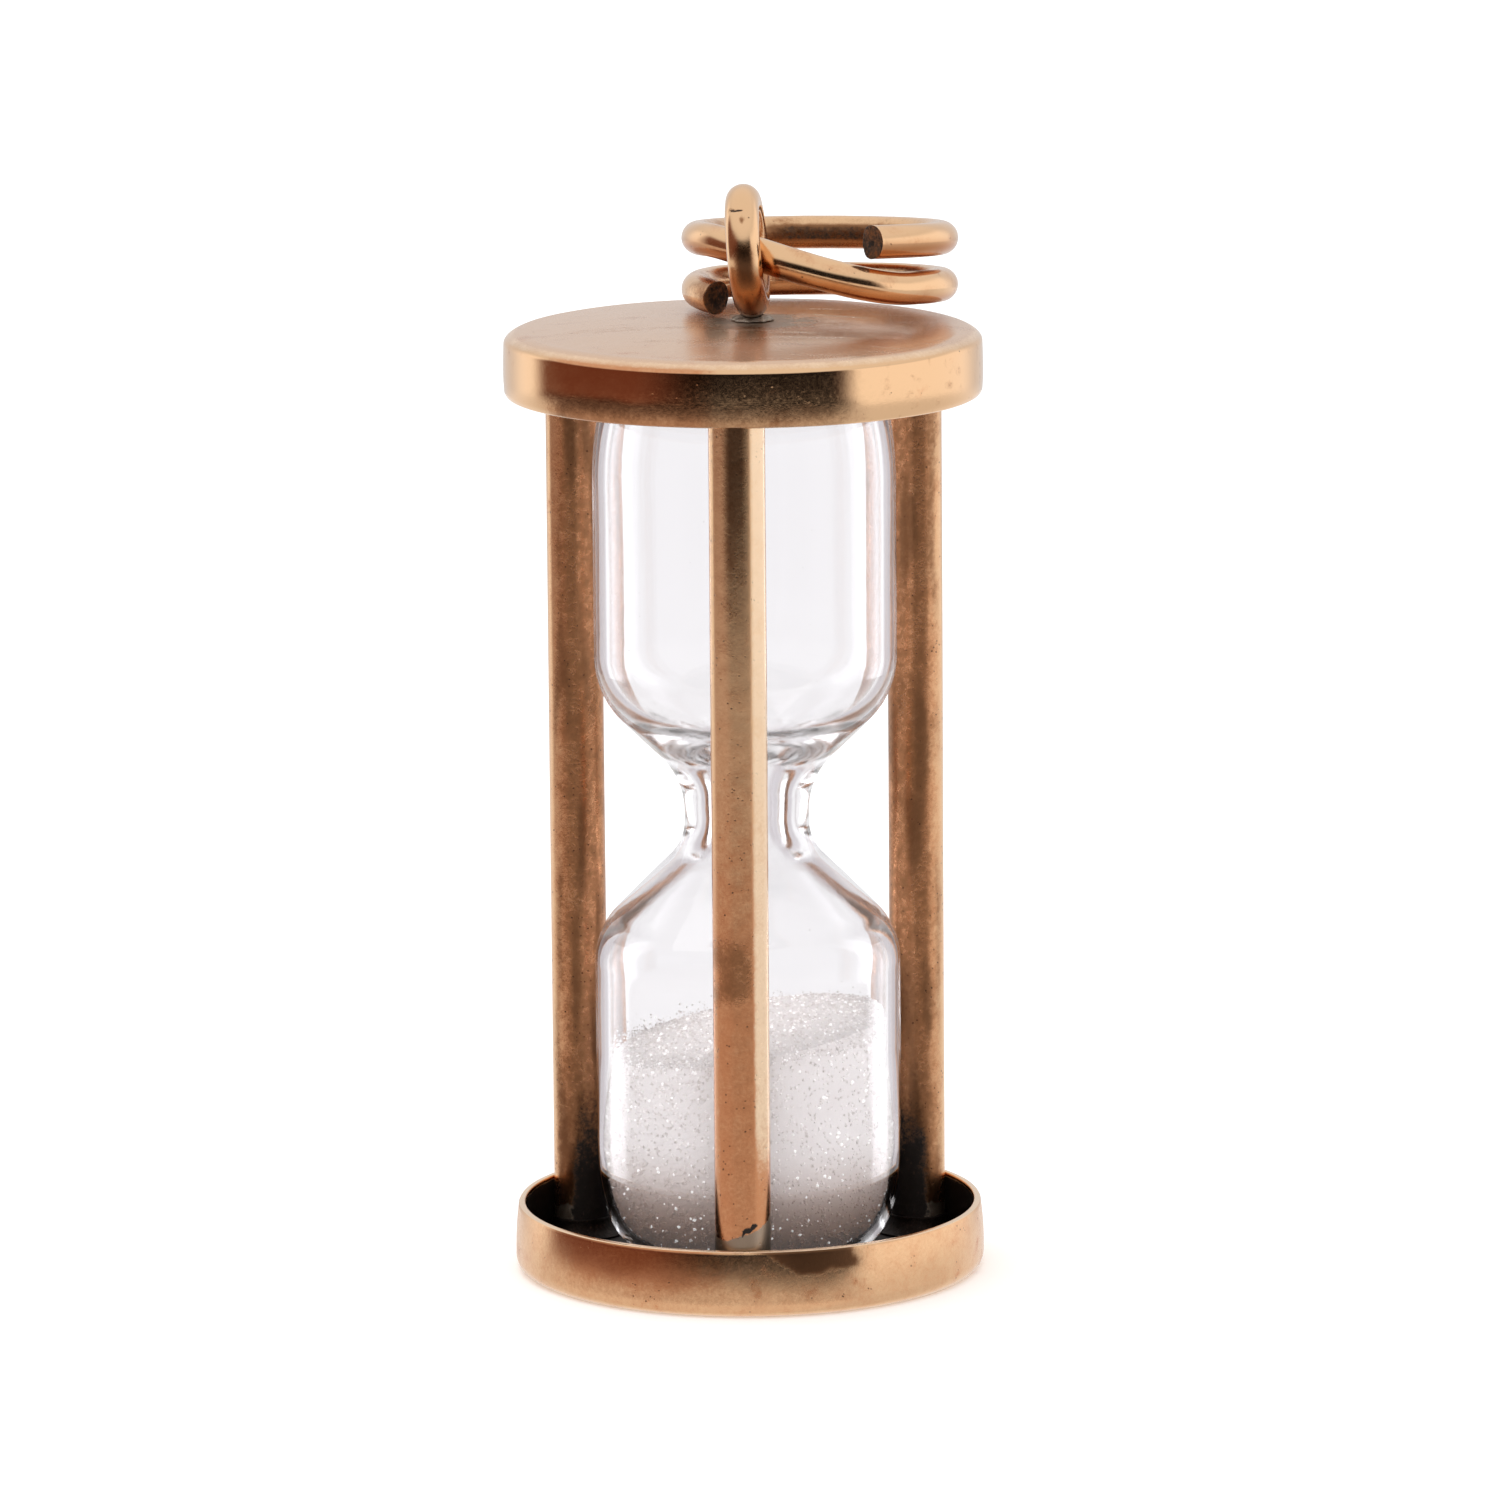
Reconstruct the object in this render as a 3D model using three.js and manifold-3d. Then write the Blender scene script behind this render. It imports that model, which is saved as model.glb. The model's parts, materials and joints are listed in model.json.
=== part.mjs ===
// A rose-gold hourglass charm: a deep cap and a tray of spun sheet, held apart by three
// round pillars, with a sealed double-bulb vial of white sand between them, and a wire eye
// on the cap that carries a split ring of nearly two turns.
//
// Millimetres, +Z up. The origin is the centre of the tray's underside, and -Y is the front.

import * as THREE from 'three';
import { mergeVertices } from 'three/addons/utils/BufferGeometryUtils.js';
import Module from 'manifold-3d';

const wasm = await Module();
wasm.setup();

// ---- Driving dimensions --------------------------------------------------------------

const GAP = 0.01; // clearance between soldered or bedded neighbours

// A cup is a round sheet-metal dish. Heights run from its closed face towards its rim.
const TRAY = { radius: 4.95, depth: 1.42, sheet: 0.2, corner: 0.3, rise: 0, faceZ: 0, opens: 1 };
const CAP = { radius: 5.0, depth: 1.37, sheet: 0.22, corner: 0.35, rise: 0.17, faceZ: 19.95, opens: -1 };
const CUP_LIP = 0.05; // rounding of the rim's two edges

const PILLAR_RADIUS = 0.59;
const PILLAR_CIRCLE = 4.14; // radius of the circle through the pillars' axes
const PILLAR_CHAMFER = 0.08;
const PILLAR_ANGLES = { front: -92, right: 30, left: 150 }; // degrees from +X

const SOLDER_REACH = 0.34; // how far a fillet spreads from its pillar
const SOLDER_HEIGHT = 0.38;
const SOLDER_FEATHER = 0.04; // thickness left at the fillet's top edge

const VIAL_BOTTOM = 0.45;
const VIAL_TOP = 19.35;
const VIAL_BASE_WALL = 0.4;
const VIAL_CROWN_WALL = 0.35;
const FILL_HOLE_RADIUS = 0.5;
const SEAL_RADIUS = 0.48;

// Each shoulder runs from a bulb's wall to the neck: a convex bend, a straight cone and a
// concave waist. start is the height where the bulb's wall begins to bend.
const LOWER_OUTSIDE = { wall: 3.21, neck: 1.31, start: 6.55, bend: 1.59, waist: 0.52, slope: 45, side: 1 };
const UPPER_OUTSIDE = { wall: 3.17, neck: 1.31, start: 13.08, bend: 1.92, waist: 1.72, slope: 46, side: -1 };
const LOWER_INSIDE = { wall: 2.92, neck: 0.68, start: 6.5, bend: 1.1, waist: 1.2, slope: 46, side: 1 };
const UPPER_INSIDE = { wall: 2.86, neck: 0.68, start: 13.1, bend: 1.5, waist: 1.3, slope: 62, side: -1 };

// The bulbs' far ends are flat discs with elliptical edges: width is radial, height axial.
const LOWER_END = { width: 0.84, height: 2.05 };
const UPPER_END = { width: 0.8, height: 2.65 };
const LOWER_END_INSIDE = { width: 0.85, height: 1.8 };
const UPPER_END_INSIDE = { width: 0.8, height: 2.4 };

const SAND_CLEARANCE = 0.02;
const SAND_RIM = 4.9; // mean height where the heap meets the glass
const SAND_TILT = 0.1; // the heap's rim climbs towards +X
const SAND_RISE = 0.8; // how far the peak stands above the rim
const SAND_PEAK_X = 0.85;

const BED_RADIUS = 2.3;
const BED_CLEARANCE = 0.02;

const EYE_RADIUS = 1.04; // to the wire's centre
const EYE_WIRE = 0.36; // the wire's radius
const EYE_X = 0.11;
const EYE_SOLDER_FILM = 0.05; // solder left under the eye's wire
const EYE_TURN = 4; // degrees that the eye's axis turns from +X towards -Y
const EYE_LEAN = 5; // degrees that the eye's axis tips up
const EYE_SOLDER_RADIUS = 0.5;
const EYE_SOLDER_HEIGHT = 0.2;

// Ring angles are in degrees seen from above: 0 at the front, 90 at +X.
const RING_RADIUS = 2.55;
const RING_WIRE = 0.355;
const RING_START = 24;
const RING_END = 664;
const RING_AT_EYE = 324; // where the wire runs through the eye
const RING_PITCH = 0.98; // drop from the upper turn to the lower one
const RING_JOG = { from: 292, to: 406 }; // stretch over which the wire drops
const RING_TAIL = { from: 564, drop: 0.22 }; // the last stretch sags onto the cap
const RING_TILT = 5.2; // degrees that the lying ring dips towards the back

const ROUND_STEPS = 48;
const VIAL_STEPS = 36;
const PILLAR_STEPS = 16;
const WIRE_SIDES = 12;
const RING_STEPS = 72;
const EYE_STEPS = 32;
const DOME_STEPS = 3;
const BEND_STEPS = 4; // along each rounded stretch of a profile

// ---- Materials -----------------------------------------------------------------------

const metal = (color, roughness) => new THREE.MeshStandardMaterial({ color, roughness, metalness: 1 });
const matte = (color, roughness) => new THREE.MeshStandardMaterial({ color, roughness, metalness: 0 });
const glass = (color) => new THREE.MeshStandardMaterial({
  color, roughness: 0.05, metalness: 0, transparent: true, opacity: 0.3,
});

const ROSE_GOLD = 0xc08560;
const SOLDER_GREY = 0xa9a196;
const CLEAR_GLASS = 0xf2f4f5;
const SAND_WHITE = 0xe4dedb;
const CEMENT_CREAM = 0xd8cdb8;

// ---- Helpers -------------------------------------------------------------------------

const radians = THREE.MathUtils.degToRad;
const point = (radius, height) => new THREE.Vector2(radius, height);

// Points on an ellipse's arc, both ends included; angles in degrees.
function arc(centre, width, height, from, to, steps) {
  const points = [];
  for (let i = 0; i <= steps; i += 1) {
    const angle = radians(from + ((to - from) * i) / steps);
    points.push(point(centre.x + width * Math.cos(angle), centre.y + height * Math.sin(angle)));
  }
  return points;
}

// Turns a profile of (radius, height) points about the Z axis. The profile runs upwards
// along the outside, so that the faces point out.
function turned(profile, steps) {
  return new THREE.LatheGeometry(profile, steps).rotateX(Math.PI / 2);
}

function toSolid(geometry) {
  const bare = geometry.clone();
  bare.deleteAttribute('normal');
  bare.deleteAttribute('uv');
  const merged = mergeVertices(bare, 1e-5);
  const triangles = [];
  for (let i = 0; i < merged.index.count; i += 3) {
    const corner = [merged.index.getX(i), merged.index.getX(i + 1), merged.index.getX(i + 2)];
    if (new Set(corner).size === 3) triangles.push(...corner);
  }
  return new wasm.Manifold(new wasm.Mesh({
    numProp: 3,
    vertProperties: new Float32Array(merged.attributes.position.array),
    triVerts: new Uint32Array(triangles),
  }));
}

function fromSolid(solid) {
  const mesh = solid.getMesh();
  const geometry = new THREE.BufferGeometry();
  geometry.setAttribute('position', new THREE.BufferAttribute(new Float32Array(mesh.vertProperties), 3));
  geometry.setIndex(new THREE.BufferAttribute(new Uint32Array(mesh.triVerts), 1));
  geometry.computeVertexNormals();
  return geometry;
}

function piece(name, geometry, material) {
  const mesh = new THREE.Mesh(geometry, material);
  mesh.name = name;
  return mesh;
}

// ---- Cap and tray --------------------------------------------------------------------

const cupZ = (cup, height) => cup.faceZ + cup.opens * height;
const cupWallInside = (cup) => cup.radius - cup.sheet;

// The shallow dome of a cup's closed face, from the axis to the start of its corner.
function dome(cup, height) {
  const steps = cup.rise > 0 ? DOME_STEPS : 1;
  const reach = cup.radius - cup.corner;
  const points = [];
  for (let i = 0; i <= steps; i += 1) {
    const share = i / steps;
    points.push(point(reach * share, height - cup.rise * (1 - share * share)));
  }
  return points;
}

// A cup's profile from the axis, round the outside and back to the axis along the inside.
function cupProfile(cup) {
  const bend = cup.radius - cup.corner;
  const inside = cup.corner - cup.sheet;
  const wall = cupWallInside(cup);
  const profile = [
    ...dome(cup, 0),
    ...arc(point(bend, cup.corner), cup.corner, cup.corner, -90, 0, BEND_STEPS).slice(1),
    ...arc(point(cup.radius - CUP_LIP, cup.depth - CUP_LIP), CUP_LIP, CUP_LIP, 0, 90, 2),
    ...arc(point(wall + CUP_LIP, cup.depth - CUP_LIP), CUP_LIP, CUP_LIP, 90, 180, 2),
    ...arc(point(bend, cup.corner), inside, inside, 0, -90, 2),
    ...dome(cup, cup.sheet).reverse().slice(1),
  ].map((p) => point(p.x, cupZ(cup, p.y)));
  return cup.opens > 0 ? profile : profile.reverse();
}

// The room inside a cup, a little clear of its wall, as a solid that trims the solder.
function cupRoom(cup) {
  const bend = cup.radius - cup.corner;
  const inside = cup.corner - cup.sheet - GAP;
  const profile = [
    point(0, cup.sheet + GAP),
    ...arc(point(bend, cup.corner), inside, inside, -90, 0, 3),
    point(cupWallInside(cup) - GAP, cup.depth),
    point(0, cup.depth),
  ].map((p) => point(p.x, cupZ(cup, p.y)));
  return toSolid(turned(cup.opens > 0 ? profile : profile.reverse(), ROUND_STEPS));
}

const topCap = () => piece('top_cap', turned(cupProfile(CAP), ROUND_STEPS), metal(ROSE_GOLD, 0.25));
const tray = () => piece('bottom_cap', turned(cupProfile(TRAY), ROUND_STEPS), metal(ROSE_GOLD, 0.3));

// ---- Pillars and their solder --------------------------------------------------------

function pillarPlace(side) {
  const angle = radians(PILLAR_ANGLES[side]);
  return new THREE.Vector3(PILLAR_CIRCLE * Math.cos(angle), PILLAR_CIRCLE * Math.sin(angle), 0);
}

function pillar(side) {
  const foot = cupZ(TRAY, TRAY.sheet) + GAP;
  const head = cupZ(CAP, CAP.sheet) - CUP_LIP;
  const profile = [
    point(0, foot),
    point(PILLAR_RADIUS - PILLAR_CHAMFER, foot),
    point(PILLAR_RADIUS, foot + PILLAR_CHAMFER),
    point(PILLAR_RADIUS, head - PILLAR_CHAMFER),
    point(PILLAR_RADIUS - PILLAR_CHAMFER, head),
    point(0, head),
  ];
  const mesh = piece(`pillar_${side}`, turned(profile, PILLAR_STEPS), metal(ROSE_GOLD, 0.35));
  mesh.position.copy(pillarPlace(side));
  return mesh;
}

// A concave fillet round a pillar's end, trimmed to the room inside its cup.
function pillarSolder(side, cup, name) {
  const inner = PILLAR_RADIUS + GAP;
  const floor = cup.sheet + GAP;
  const reach = SOLDER_REACH - SOLDER_FEATHER;
  const sweep = arc(
    point(inner + SOLDER_REACH, floor + SOLDER_HEIGHT), reach, SOLDER_HEIGHT - SOLDER_FEATHER, 270, 180, BEND_STEPS,
  );
  const profile = [
    point(inner, floor),
    point(inner + SOLDER_REACH, floor),
    ...sweep,
    point(inner, floor + SOLDER_HEIGHT),
    point(inner, floor),
  ].map((p) => point(p.x, cupZ(cup, p.y)));
  const ordered = cup.opens > 0 ? profile : profile.reverse();
  const place = pillarPlace(side);
  const collar = turned(ordered, PILLAR_STEPS).translate(place.x, place.y, 0);
  const trimmed = toSolid(collar).intersect(cupRoom(cup));
  return piece(`${name}_${side}`, fromSolid(trimmed), metal(SOLDER_GREY, 0.5));
}

// ---- Glass vial, seal, sand and beds -------------------------------------------------

// A shoulder's profile from the bulb's wall to the neck.
function shoulder({ wall, neck, start, bend, waist, slope, side }) {
  const angle = radians(slope);
  const cone = (wall - neck - (bend + waist) * (1 - Math.cos(angle))) / Math.sin(angle);
  const rise = (bend + waist) * Math.sin(angle) + cone * Math.cos(angle);
  const convex = arc(point(wall - bend, 0), bend, bend, 0, slope, BEND_STEPS);
  const concave = arc(point(neck + waist, rise), waist, waist, 180 + slope, 180, BEND_STEPS);
  return [...convex, ...concave].map((p) => point(p.x, start + side * p.y));
}

// A bulb's far end, from its flat disc round the edge to its wall; up is +1 for a top end.
function bulbEnd(wall, end, discHeight, up) {
  const centre = point(wall - end.width, discHeight - up * end.height);
  return arc(centre, end.width, end.height, up * 90, 0, BEND_STEPS);
}

function vial() {
  const cavityFloor = VIAL_BOTTOM + VIAL_BASE_WALL;
  const cavityRoof = VIAL_TOP - VIAL_CROWN_WALL;
  const profile = [
    point(0, VIAL_BOTTOM),
    ...bulbEnd(LOWER_OUTSIDE.wall, LOWER_END, VIAL_BOTTOM, -1),
    ...shoulder(LOWER_OUTSIDE),
    ...shoulder(UPPER_OUTSIDE).reverse(),
    ...bulbEnd(UPPER_OUTSIDE.wall, UPPER_END, VIAL_TOP, 1).reverse(),
    point(FILL_HOLE_RADIUS, VIAL_TOP),
    point(FILL_HOLE_RADIUS, cavityRoof),
    ...bulbEnd(UPPER_INSIDE.wall, UPPER_END_INSIDE, cavityRoof, 1),
    ...shoulder(UPPER_INSIDE),
    ...shoulder(LOWER_INSIDE).reverse(),
    ...bulbEnd(LOWER_INSIDE.wall, LOWER_END_INSIDE, cavityFloor, -1).reverse(),
    point(0, cavityFloor),
  ];
  return piece('glass_vial', turned(profile, VIAL_STEPS), glass(CLEAR_GLASS));
}

function disc(name, radius, bottom, top, steps, material) {
  const profile = [point(0, bottom), point(radius, bottom), point(radius, top), point(0, top)];
  return piece(name, turned(profile, steps), material);
}

const fillerSeal = () => disc(
  'filler_seal', SEAL_RADIUS, VIAL_TOP - VIAL_CROWN_WALL, VIAL_TOP, WIRE_SIDES, glass(CLEAR_GLASS),
);

const lowerBed = () => disc(
  'lower_cement_bed', BED_RADIUS, cupZ(TRAY, TRAY.sheet) + GAP, VIAL_BOTTOM - BED_CLEARANCE,
  PILLAR_STEPS, matte(CEMENT_CREAM, 0.9),
);

const upperBed = () => disc(
  'upper_cement_bed', BED_RADIUS, VIAL_TOP + BED_CLEARANCE, cupZ(CAP, CAP.sheet) + CAP.rise / 2,
  PILLAR_STEPS, matte(CEMENT_CREAM, 0.9),
);

// The heap's free surface: a tilted rim with a low cone whose peak stands off the axis.
function heapHeight(x, y) {
  const reach = LOWER_INSIDE.wall + SAND_PEAK_X;
  const away = Math.hypot(x - SAND_PEAK_X, y) / reach;
  return SAND_RIM + SAND_TILT * x + SAND_RISE * (1 - Math.min(away, 1));
}

function sand() {
  const wall = LOWER_INSIDE.wall - SAND_CLEARANCE;
  const floor = VIAL_BOTTOM + VIAL_BASE_WALL + SAND_CLEARANCE;
  const surfaceRings = 5;
  const profile = [point(0, floor), ...bulbEnd(wall, LOWER_END_INSIDE, floor, -1)];
  for (let i = surfaceRings; i >= 0; i -= 1) profile.push(point((wall * i) / surfaceRings, SAND_RIM));
  const geometry = turned(profile, VIAL_STEPS);
  const spots = geometry.attributes.position;
  for (let i = 0; i < spots.count; i += 1) {
    const onSurface = spots.getZ(i) > SAND_RIM - SAND_CLEARANCE;
    if (onSurface) spots.setZ(i, heapHeight(spots.getX(i), spots.getY(i)));
  }
  return piece('sand', geometry, matte(SAND_WHITE, 0.8));
}

// ---- Eye and split ring --------------------------------------------------------------

const eyeAxis = () => new THREE.Vector3(
  Math.cos(radians(EYE_TURN)) * Math.cos(radians(EYE_LEAN)),
  -Math.sin(radians(EYE_TURN)) * Math.cos(radians(EYE_LEAN)),
  Math.sin(radians(EYE_LEAN)),
);

// The eye stands on its solder film at the top of the cap's dome.
function eyeCentre() {
  const reach = EYE_RADIUS * Math.cos(radians(EYE_LEAN)) + EYE_WIRE;
  return new THREE.Vector3(EYE_X, 0, CAP.faceZ + CAP.rise + EYE_SOLDER_FILM + reach);
}

function eyeGeometry(wireRadius) {
  const upright = new THREE.Quaternion().setFromUnitVectors(new THREE.Vector3(0, 0, 1), eyeAxis());
  const centre = eyeCentre();
  return new THREE.TorusGeometry(EYE_RADIUS, wireRadius, WIRE_SIDES, EYE_STEPS)
    .applyQuaternion(upright)
    .translate(centre.x, centre.y, centre.z);
}

const eyeLoop = () => piece('eye_loop', eyeGeometry(EYE_WIRE), metal(ROSE_GOLD, 0.22));

// A flat pool of solder on the dome, shaped round the foot of the eye.
function eyeSolder() {
  const floor = CAP.faceZ + CAP.rise + GAP;
  const profile = [
    point(0, floor),
    ...arc(point(0, floor), EYE_SOLDER_RADIUS, EYE_SOLDER_HEIGHT, 0, 90, BEND_STEPS),
  ];
  const footX = EYE_X + EYE_RADIUS * Math.sin(radians(EYE_LEAN));
  const pool = toSolid(turned(profile, PILLAR_STEPS).translate(footX, 0, 0));
  const shaped = pool.subtract(toSolid(eyeGeometry(EYE_WIRE + GAP)));
  return piece('eye_solder', fromSolid(shaped), metal(SOLDER_GREY, 0.5));
}

// Height of the ring's wire above the plane of the eye's centre, by angle.
function ringHeight(angle) {
  const drop = (at) => THREE.MathUtils.smoothstep(at, RING_JOG.from, RING_JOG.to) * RING_PITCH;
  const tail = Math.max(0, (angle - RING_TAIL.from) / (RING_END - RING_TAIL.from));
  return drop(RING_AT_EYE) - drop(angle) - RING_TAIL.drop * tail * tail;
}

// The wire's path: nearly two flat turns joined by a jog, passing through the eye's centre.
class SplitRingPath extends THREE.Curve {
  getPoint(t, target = new THREE.Vector3()) {
    const angle = THREE.MathUtils.lerp(RING_START, RING_END, t);
    const atEye = radians(RING_AT_EYE);
    const here = radians(angle);
    target.set(
      RING_RADIUS * (Math.sin(here) - Math.sin(atEye)),
      RING_RADIUS * (Math.cos(atEye) - Math.cos(here)),
      ringHeight(angle),
    );
    return target.applyAxisAngle(eyeAxis(), radians(-RING_TILT)).add(eyeCentre());
  }
}

function splitRing() {
  const section = new THREE.Shape().absarc(0, 0, RING_WIRE, 0, 2 * Math.PI);
  const geometry = new THREE.ExtrudeGeometry(section, {
    steps: RING_STEPS,
    curveSegments: WIRE_SIDES / 2,
    bevelEnabled: false,
    extrudePath: new SplitRingPath(),
  });
  return piece('split_ring', geometry, metal(ROSE_GOLD, 0.22));
}

// ---- Assembly ------------------------------------------------------------------------

const hourglass = new THREE.Group();
hourglass.add(tray(), topCap());
for (const side of Object.keys(PILLAR_ANGLES)) {
  hourglass.add(pillar(side), pillarSolder(side, TRAY, 'foot_solder'), pillarSolder(side, CAP, 'head_solder'));
}
hourglass.add(lowerBed(), vial(), sand(), fillerSeal(), upperBed());
hourglass.add(eyeLoop(), eyeSolder(), splitRing());

export default hourglass;
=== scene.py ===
"""Looks of the rose-gold hourglass charm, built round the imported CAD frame.

Every piece is fine mesh work in the place of its CAD node. Sizes are in millimetres, and
the mesh maker turns them into metres. +Z is up, and -Y is the front.
"""

import json
import math

import bmesh
import bpy
import numpy as np
from mathutils import Matrix, Vector, noise


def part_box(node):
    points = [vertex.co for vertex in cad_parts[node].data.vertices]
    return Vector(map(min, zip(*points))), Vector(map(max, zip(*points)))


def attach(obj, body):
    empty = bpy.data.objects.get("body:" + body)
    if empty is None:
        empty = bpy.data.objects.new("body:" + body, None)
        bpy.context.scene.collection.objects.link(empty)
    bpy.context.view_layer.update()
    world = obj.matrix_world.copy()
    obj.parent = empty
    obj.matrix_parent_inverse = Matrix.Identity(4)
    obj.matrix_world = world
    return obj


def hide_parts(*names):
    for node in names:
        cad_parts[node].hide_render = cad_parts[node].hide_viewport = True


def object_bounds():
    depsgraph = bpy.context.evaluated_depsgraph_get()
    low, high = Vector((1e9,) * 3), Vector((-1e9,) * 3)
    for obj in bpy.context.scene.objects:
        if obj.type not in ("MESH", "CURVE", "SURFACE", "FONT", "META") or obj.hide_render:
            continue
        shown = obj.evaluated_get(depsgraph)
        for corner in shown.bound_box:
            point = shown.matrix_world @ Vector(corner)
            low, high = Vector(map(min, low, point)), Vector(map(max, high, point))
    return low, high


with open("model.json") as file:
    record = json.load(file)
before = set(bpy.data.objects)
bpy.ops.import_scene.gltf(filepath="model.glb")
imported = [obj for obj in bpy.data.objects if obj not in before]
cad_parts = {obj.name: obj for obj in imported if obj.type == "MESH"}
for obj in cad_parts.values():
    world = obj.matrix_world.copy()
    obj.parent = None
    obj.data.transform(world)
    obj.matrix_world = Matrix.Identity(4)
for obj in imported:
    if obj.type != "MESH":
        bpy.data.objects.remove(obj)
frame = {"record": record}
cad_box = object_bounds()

MM = 0.001

# ---- Sizes, in millimetres and degrees

# A cup's wall is widest at the depth "bulge" below its face. It draws in from there towards the rim
# at the rate "curve" per millimetre, and towards the face at the rate "barrel".
# "round" is the corner's width on the face, "corner" its height on the wall, and "rise" the face's dome.
TRAY = dict(sheet=0.2, round=0.3, corner=0.3, rise=0.0, lip=0.05, bulge=0.45, curve=0.14, barrel=0.0)
CAP = dict(sheet=0.22, round=0.55, corner=0.27, rise=0.17, lip=0.1, bulge=0.9, curve=0.26, barrel=0.06)
CUP_SIDES = 288
INNER_LIP = 0.05
DENT_DEPTH = 0.012  # the sheet's waves stay below the CAD's face by this much on average

PILLAR_SIDES = 72
PILLAR_CHAMFER = 0.08
SEEDS = {"front": 5, "right": 5, "left": 4}  # for each pillar's own waves and lumps
SOLDER_REACH = 0.34
SOLDER_SIDES = 96
SOLDER_CLIMB = 0.62  # height of the solder's edge on a back pillar, above the tray's floor
FRONT_SOLDER_CLIMB = 1.5
WALL_CLEARANCE = 0.02

VIAL_BASE_WALL = 0.18
VIAL_CROWN_WALL = 0.35
FILL_HOLE_RADIUS = 0.5
VIAL_SIDES = 192
# A bulb's shoulder: its wall's and the neck's radius, the height where it leaves the wall, the radii of
# its bend and its waist, the slope of the cone between them, and 1 where the neck is above it.
LOWER_OUTSIDE = dict(wall=3.21, neck=1.31, start=6.55, bend=1.59, waist=1.05, slope=45, side=1)
UPPER_OUTSIDE = dict(wall=3.17, neck=1.31, start=13.08, bend=1.92, waist=1.72, slope=46, side=-1)
LOWER_INSIDE = dict(wall=2.92, neck=0.68, start=6.5, bend=1.1, waist=1.2, slope=46, side=1)
UPPER_INSIDE = dict(wall=2.86, neck=0.68, start=13.1, bend=1.5, waist=1.3, slope=62, side=-1)
# The width and height of the bend at a bulb's far end
LOWER_END = (0.84, 2.05)
UPPER_END = (0.8, 2.65)
LOWER_END_INSIDE = (0.72, 1.95)
UPPER_END_INSIDE = (0.8, 2.4)
BASE_THINNING = 0.048  # the share by which the cavity widens towards its floor
THINNING_HEIGHTS = (4.6, 2.4)  # where the widening starts, and where it is full

SAND_CLEARANCE = 0.06  # from the glass to the heap's body, filled by the grains that stand on it
SAND_RIM = 4.88
SAND_TILT = 0.1
SAND_RISE = 0.8
SAND_PEAK_X = 0.85
GRAIN_COUNT = 15000
GRAIN_RADII = (0.022, 0.06)
FRINGE_COUNT = 900  # grains that cling to the glass just above the heap's edge
FRINGE_SPREAD = 0.16
DUST_COUNT = 260
DUST_RADII = (0.006, 0.017)
DUST_HEIGHTS = (5.9, 15.5)

EYE_RADIUS = 1.04
EYE_WIRE = 0.36
EYE_STEPS = 240
WIRE_SIDES = 56
EYE_SOLDER_RADIUS = 0.5
EYE_SOLDER_HEIGHT = 0.18

RING_RADIUS = 2.55
RING_WIRE = 0.355
RING_START = 24
RING_END = 664
RING_AT_EYE = 324
RING_PITCH = 0.98
RING_JOG = (292, 406)
RING_TAIL_START = 564
RING_TAIL_DROP = 0.22
RING_TILT = 5.2
RING_STEPS = 620
RING_LEANS = (-0.3, -0.35)  # how far each cut end's face leans, as a slope
BURR = 0.03
END_FACE = ((0.94, 0.012), (0.7, 0.014), (0.4, 0.012))  # (share of the radius, how far it stands out)
END_FACE_MIDDLE = 0.01

# ---- Shape helpers


def node_box(name):
    """A CAD node's lowest and highest corners, in millimetres."""
    low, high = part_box(name)
    return np.array(low) / MM, np.array(high) / MM


def round_node(name):
    """A round upright node's centre (x, y), radius, and lowest and highest height."""
    low, high = node_box(name)
    return (low[:2] + high[:2]) / 2, (high[0] - low[0]) / 2, low[2], high[2]


def smooth(values, low, high):
    """0 below low, 1 above high, and a soft step between; low may be the larger one."""
    share = np.clip((np.asarray(values, float) - low) / (high - low), 0, 1)
    return share * share * (3 - 2 * share)


def near(values, centre, reach, core):
    """1 within core of centre, 0 beyond reach of it, and a soft step between."""
    return smooth(np.abs(values - centre), reach, core)


def arc(centre, width, height, start, end, steps):
    """Points on an ellipse's arc, both ends included."""
    angles = np.radians(np.linspace(start, end, steps + 1))
    return [(centre[0] + width * math.cos(a), centre[1] + height * math.sin(a)) for a in angles]


def dense(outline, step):
    """The outline with points added, so that no stretch is longer than step."""
    points = [np.array(outline[0], float)]
    for end in outline[1:]:
        start, end = points[-1], np.array(end, float)
        count = max(1, math.ceil(np.linalg.norm(end - start) / step))
        points += [start + (end - start) * i / count for i in range(1, count + 1)]
    return points


def skin(rows, joined=False):
    """Vertices and faces of the surface through rows of points. A row of one point closes an end."""
    starts = np.cumsum([0] + [len(row) for row in rows])
    pairs = [(i, i + 1) for i in range(len(rows) - 1)]
    if joined:
        pairs.append((len(rows) - 1, 0))
    faces = []
    for a, b in pairs:
        size_a, size_b = len(rows[a]), len(rows[b])
        around = max(size_a, size_b)
        for i in range(around):
            j = (i + 1) % around
            corners = [starts[a] + i % size_a, starts[a] + j % size_a]
            corners += [starts[b] + j % size_b, starts[b] + i % size_b]
            faces.append([int(c) for c in dict.fromkeys(corners)])
    return np.vstack(rows), faces


def lathe(outline, sides, centre=(0, 0), joined=False):
    """The surface of an outline of (radius, height) points turned about the vertical through centre."""
    turn = np.linspace(0, 2 * math.pi, sides, endpoint=False)
    circle = np.column_stack([np.cos(turn), np.sin(turn), np.zeros(sides)])
    rows = []
    for radius, height in outline:
        around = circle * radius if radius > 1e-6 else np.zeros((1, 3))
        rows.append(around + [centre[0], centre[1], height])
    return skin(rows, joined)


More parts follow.
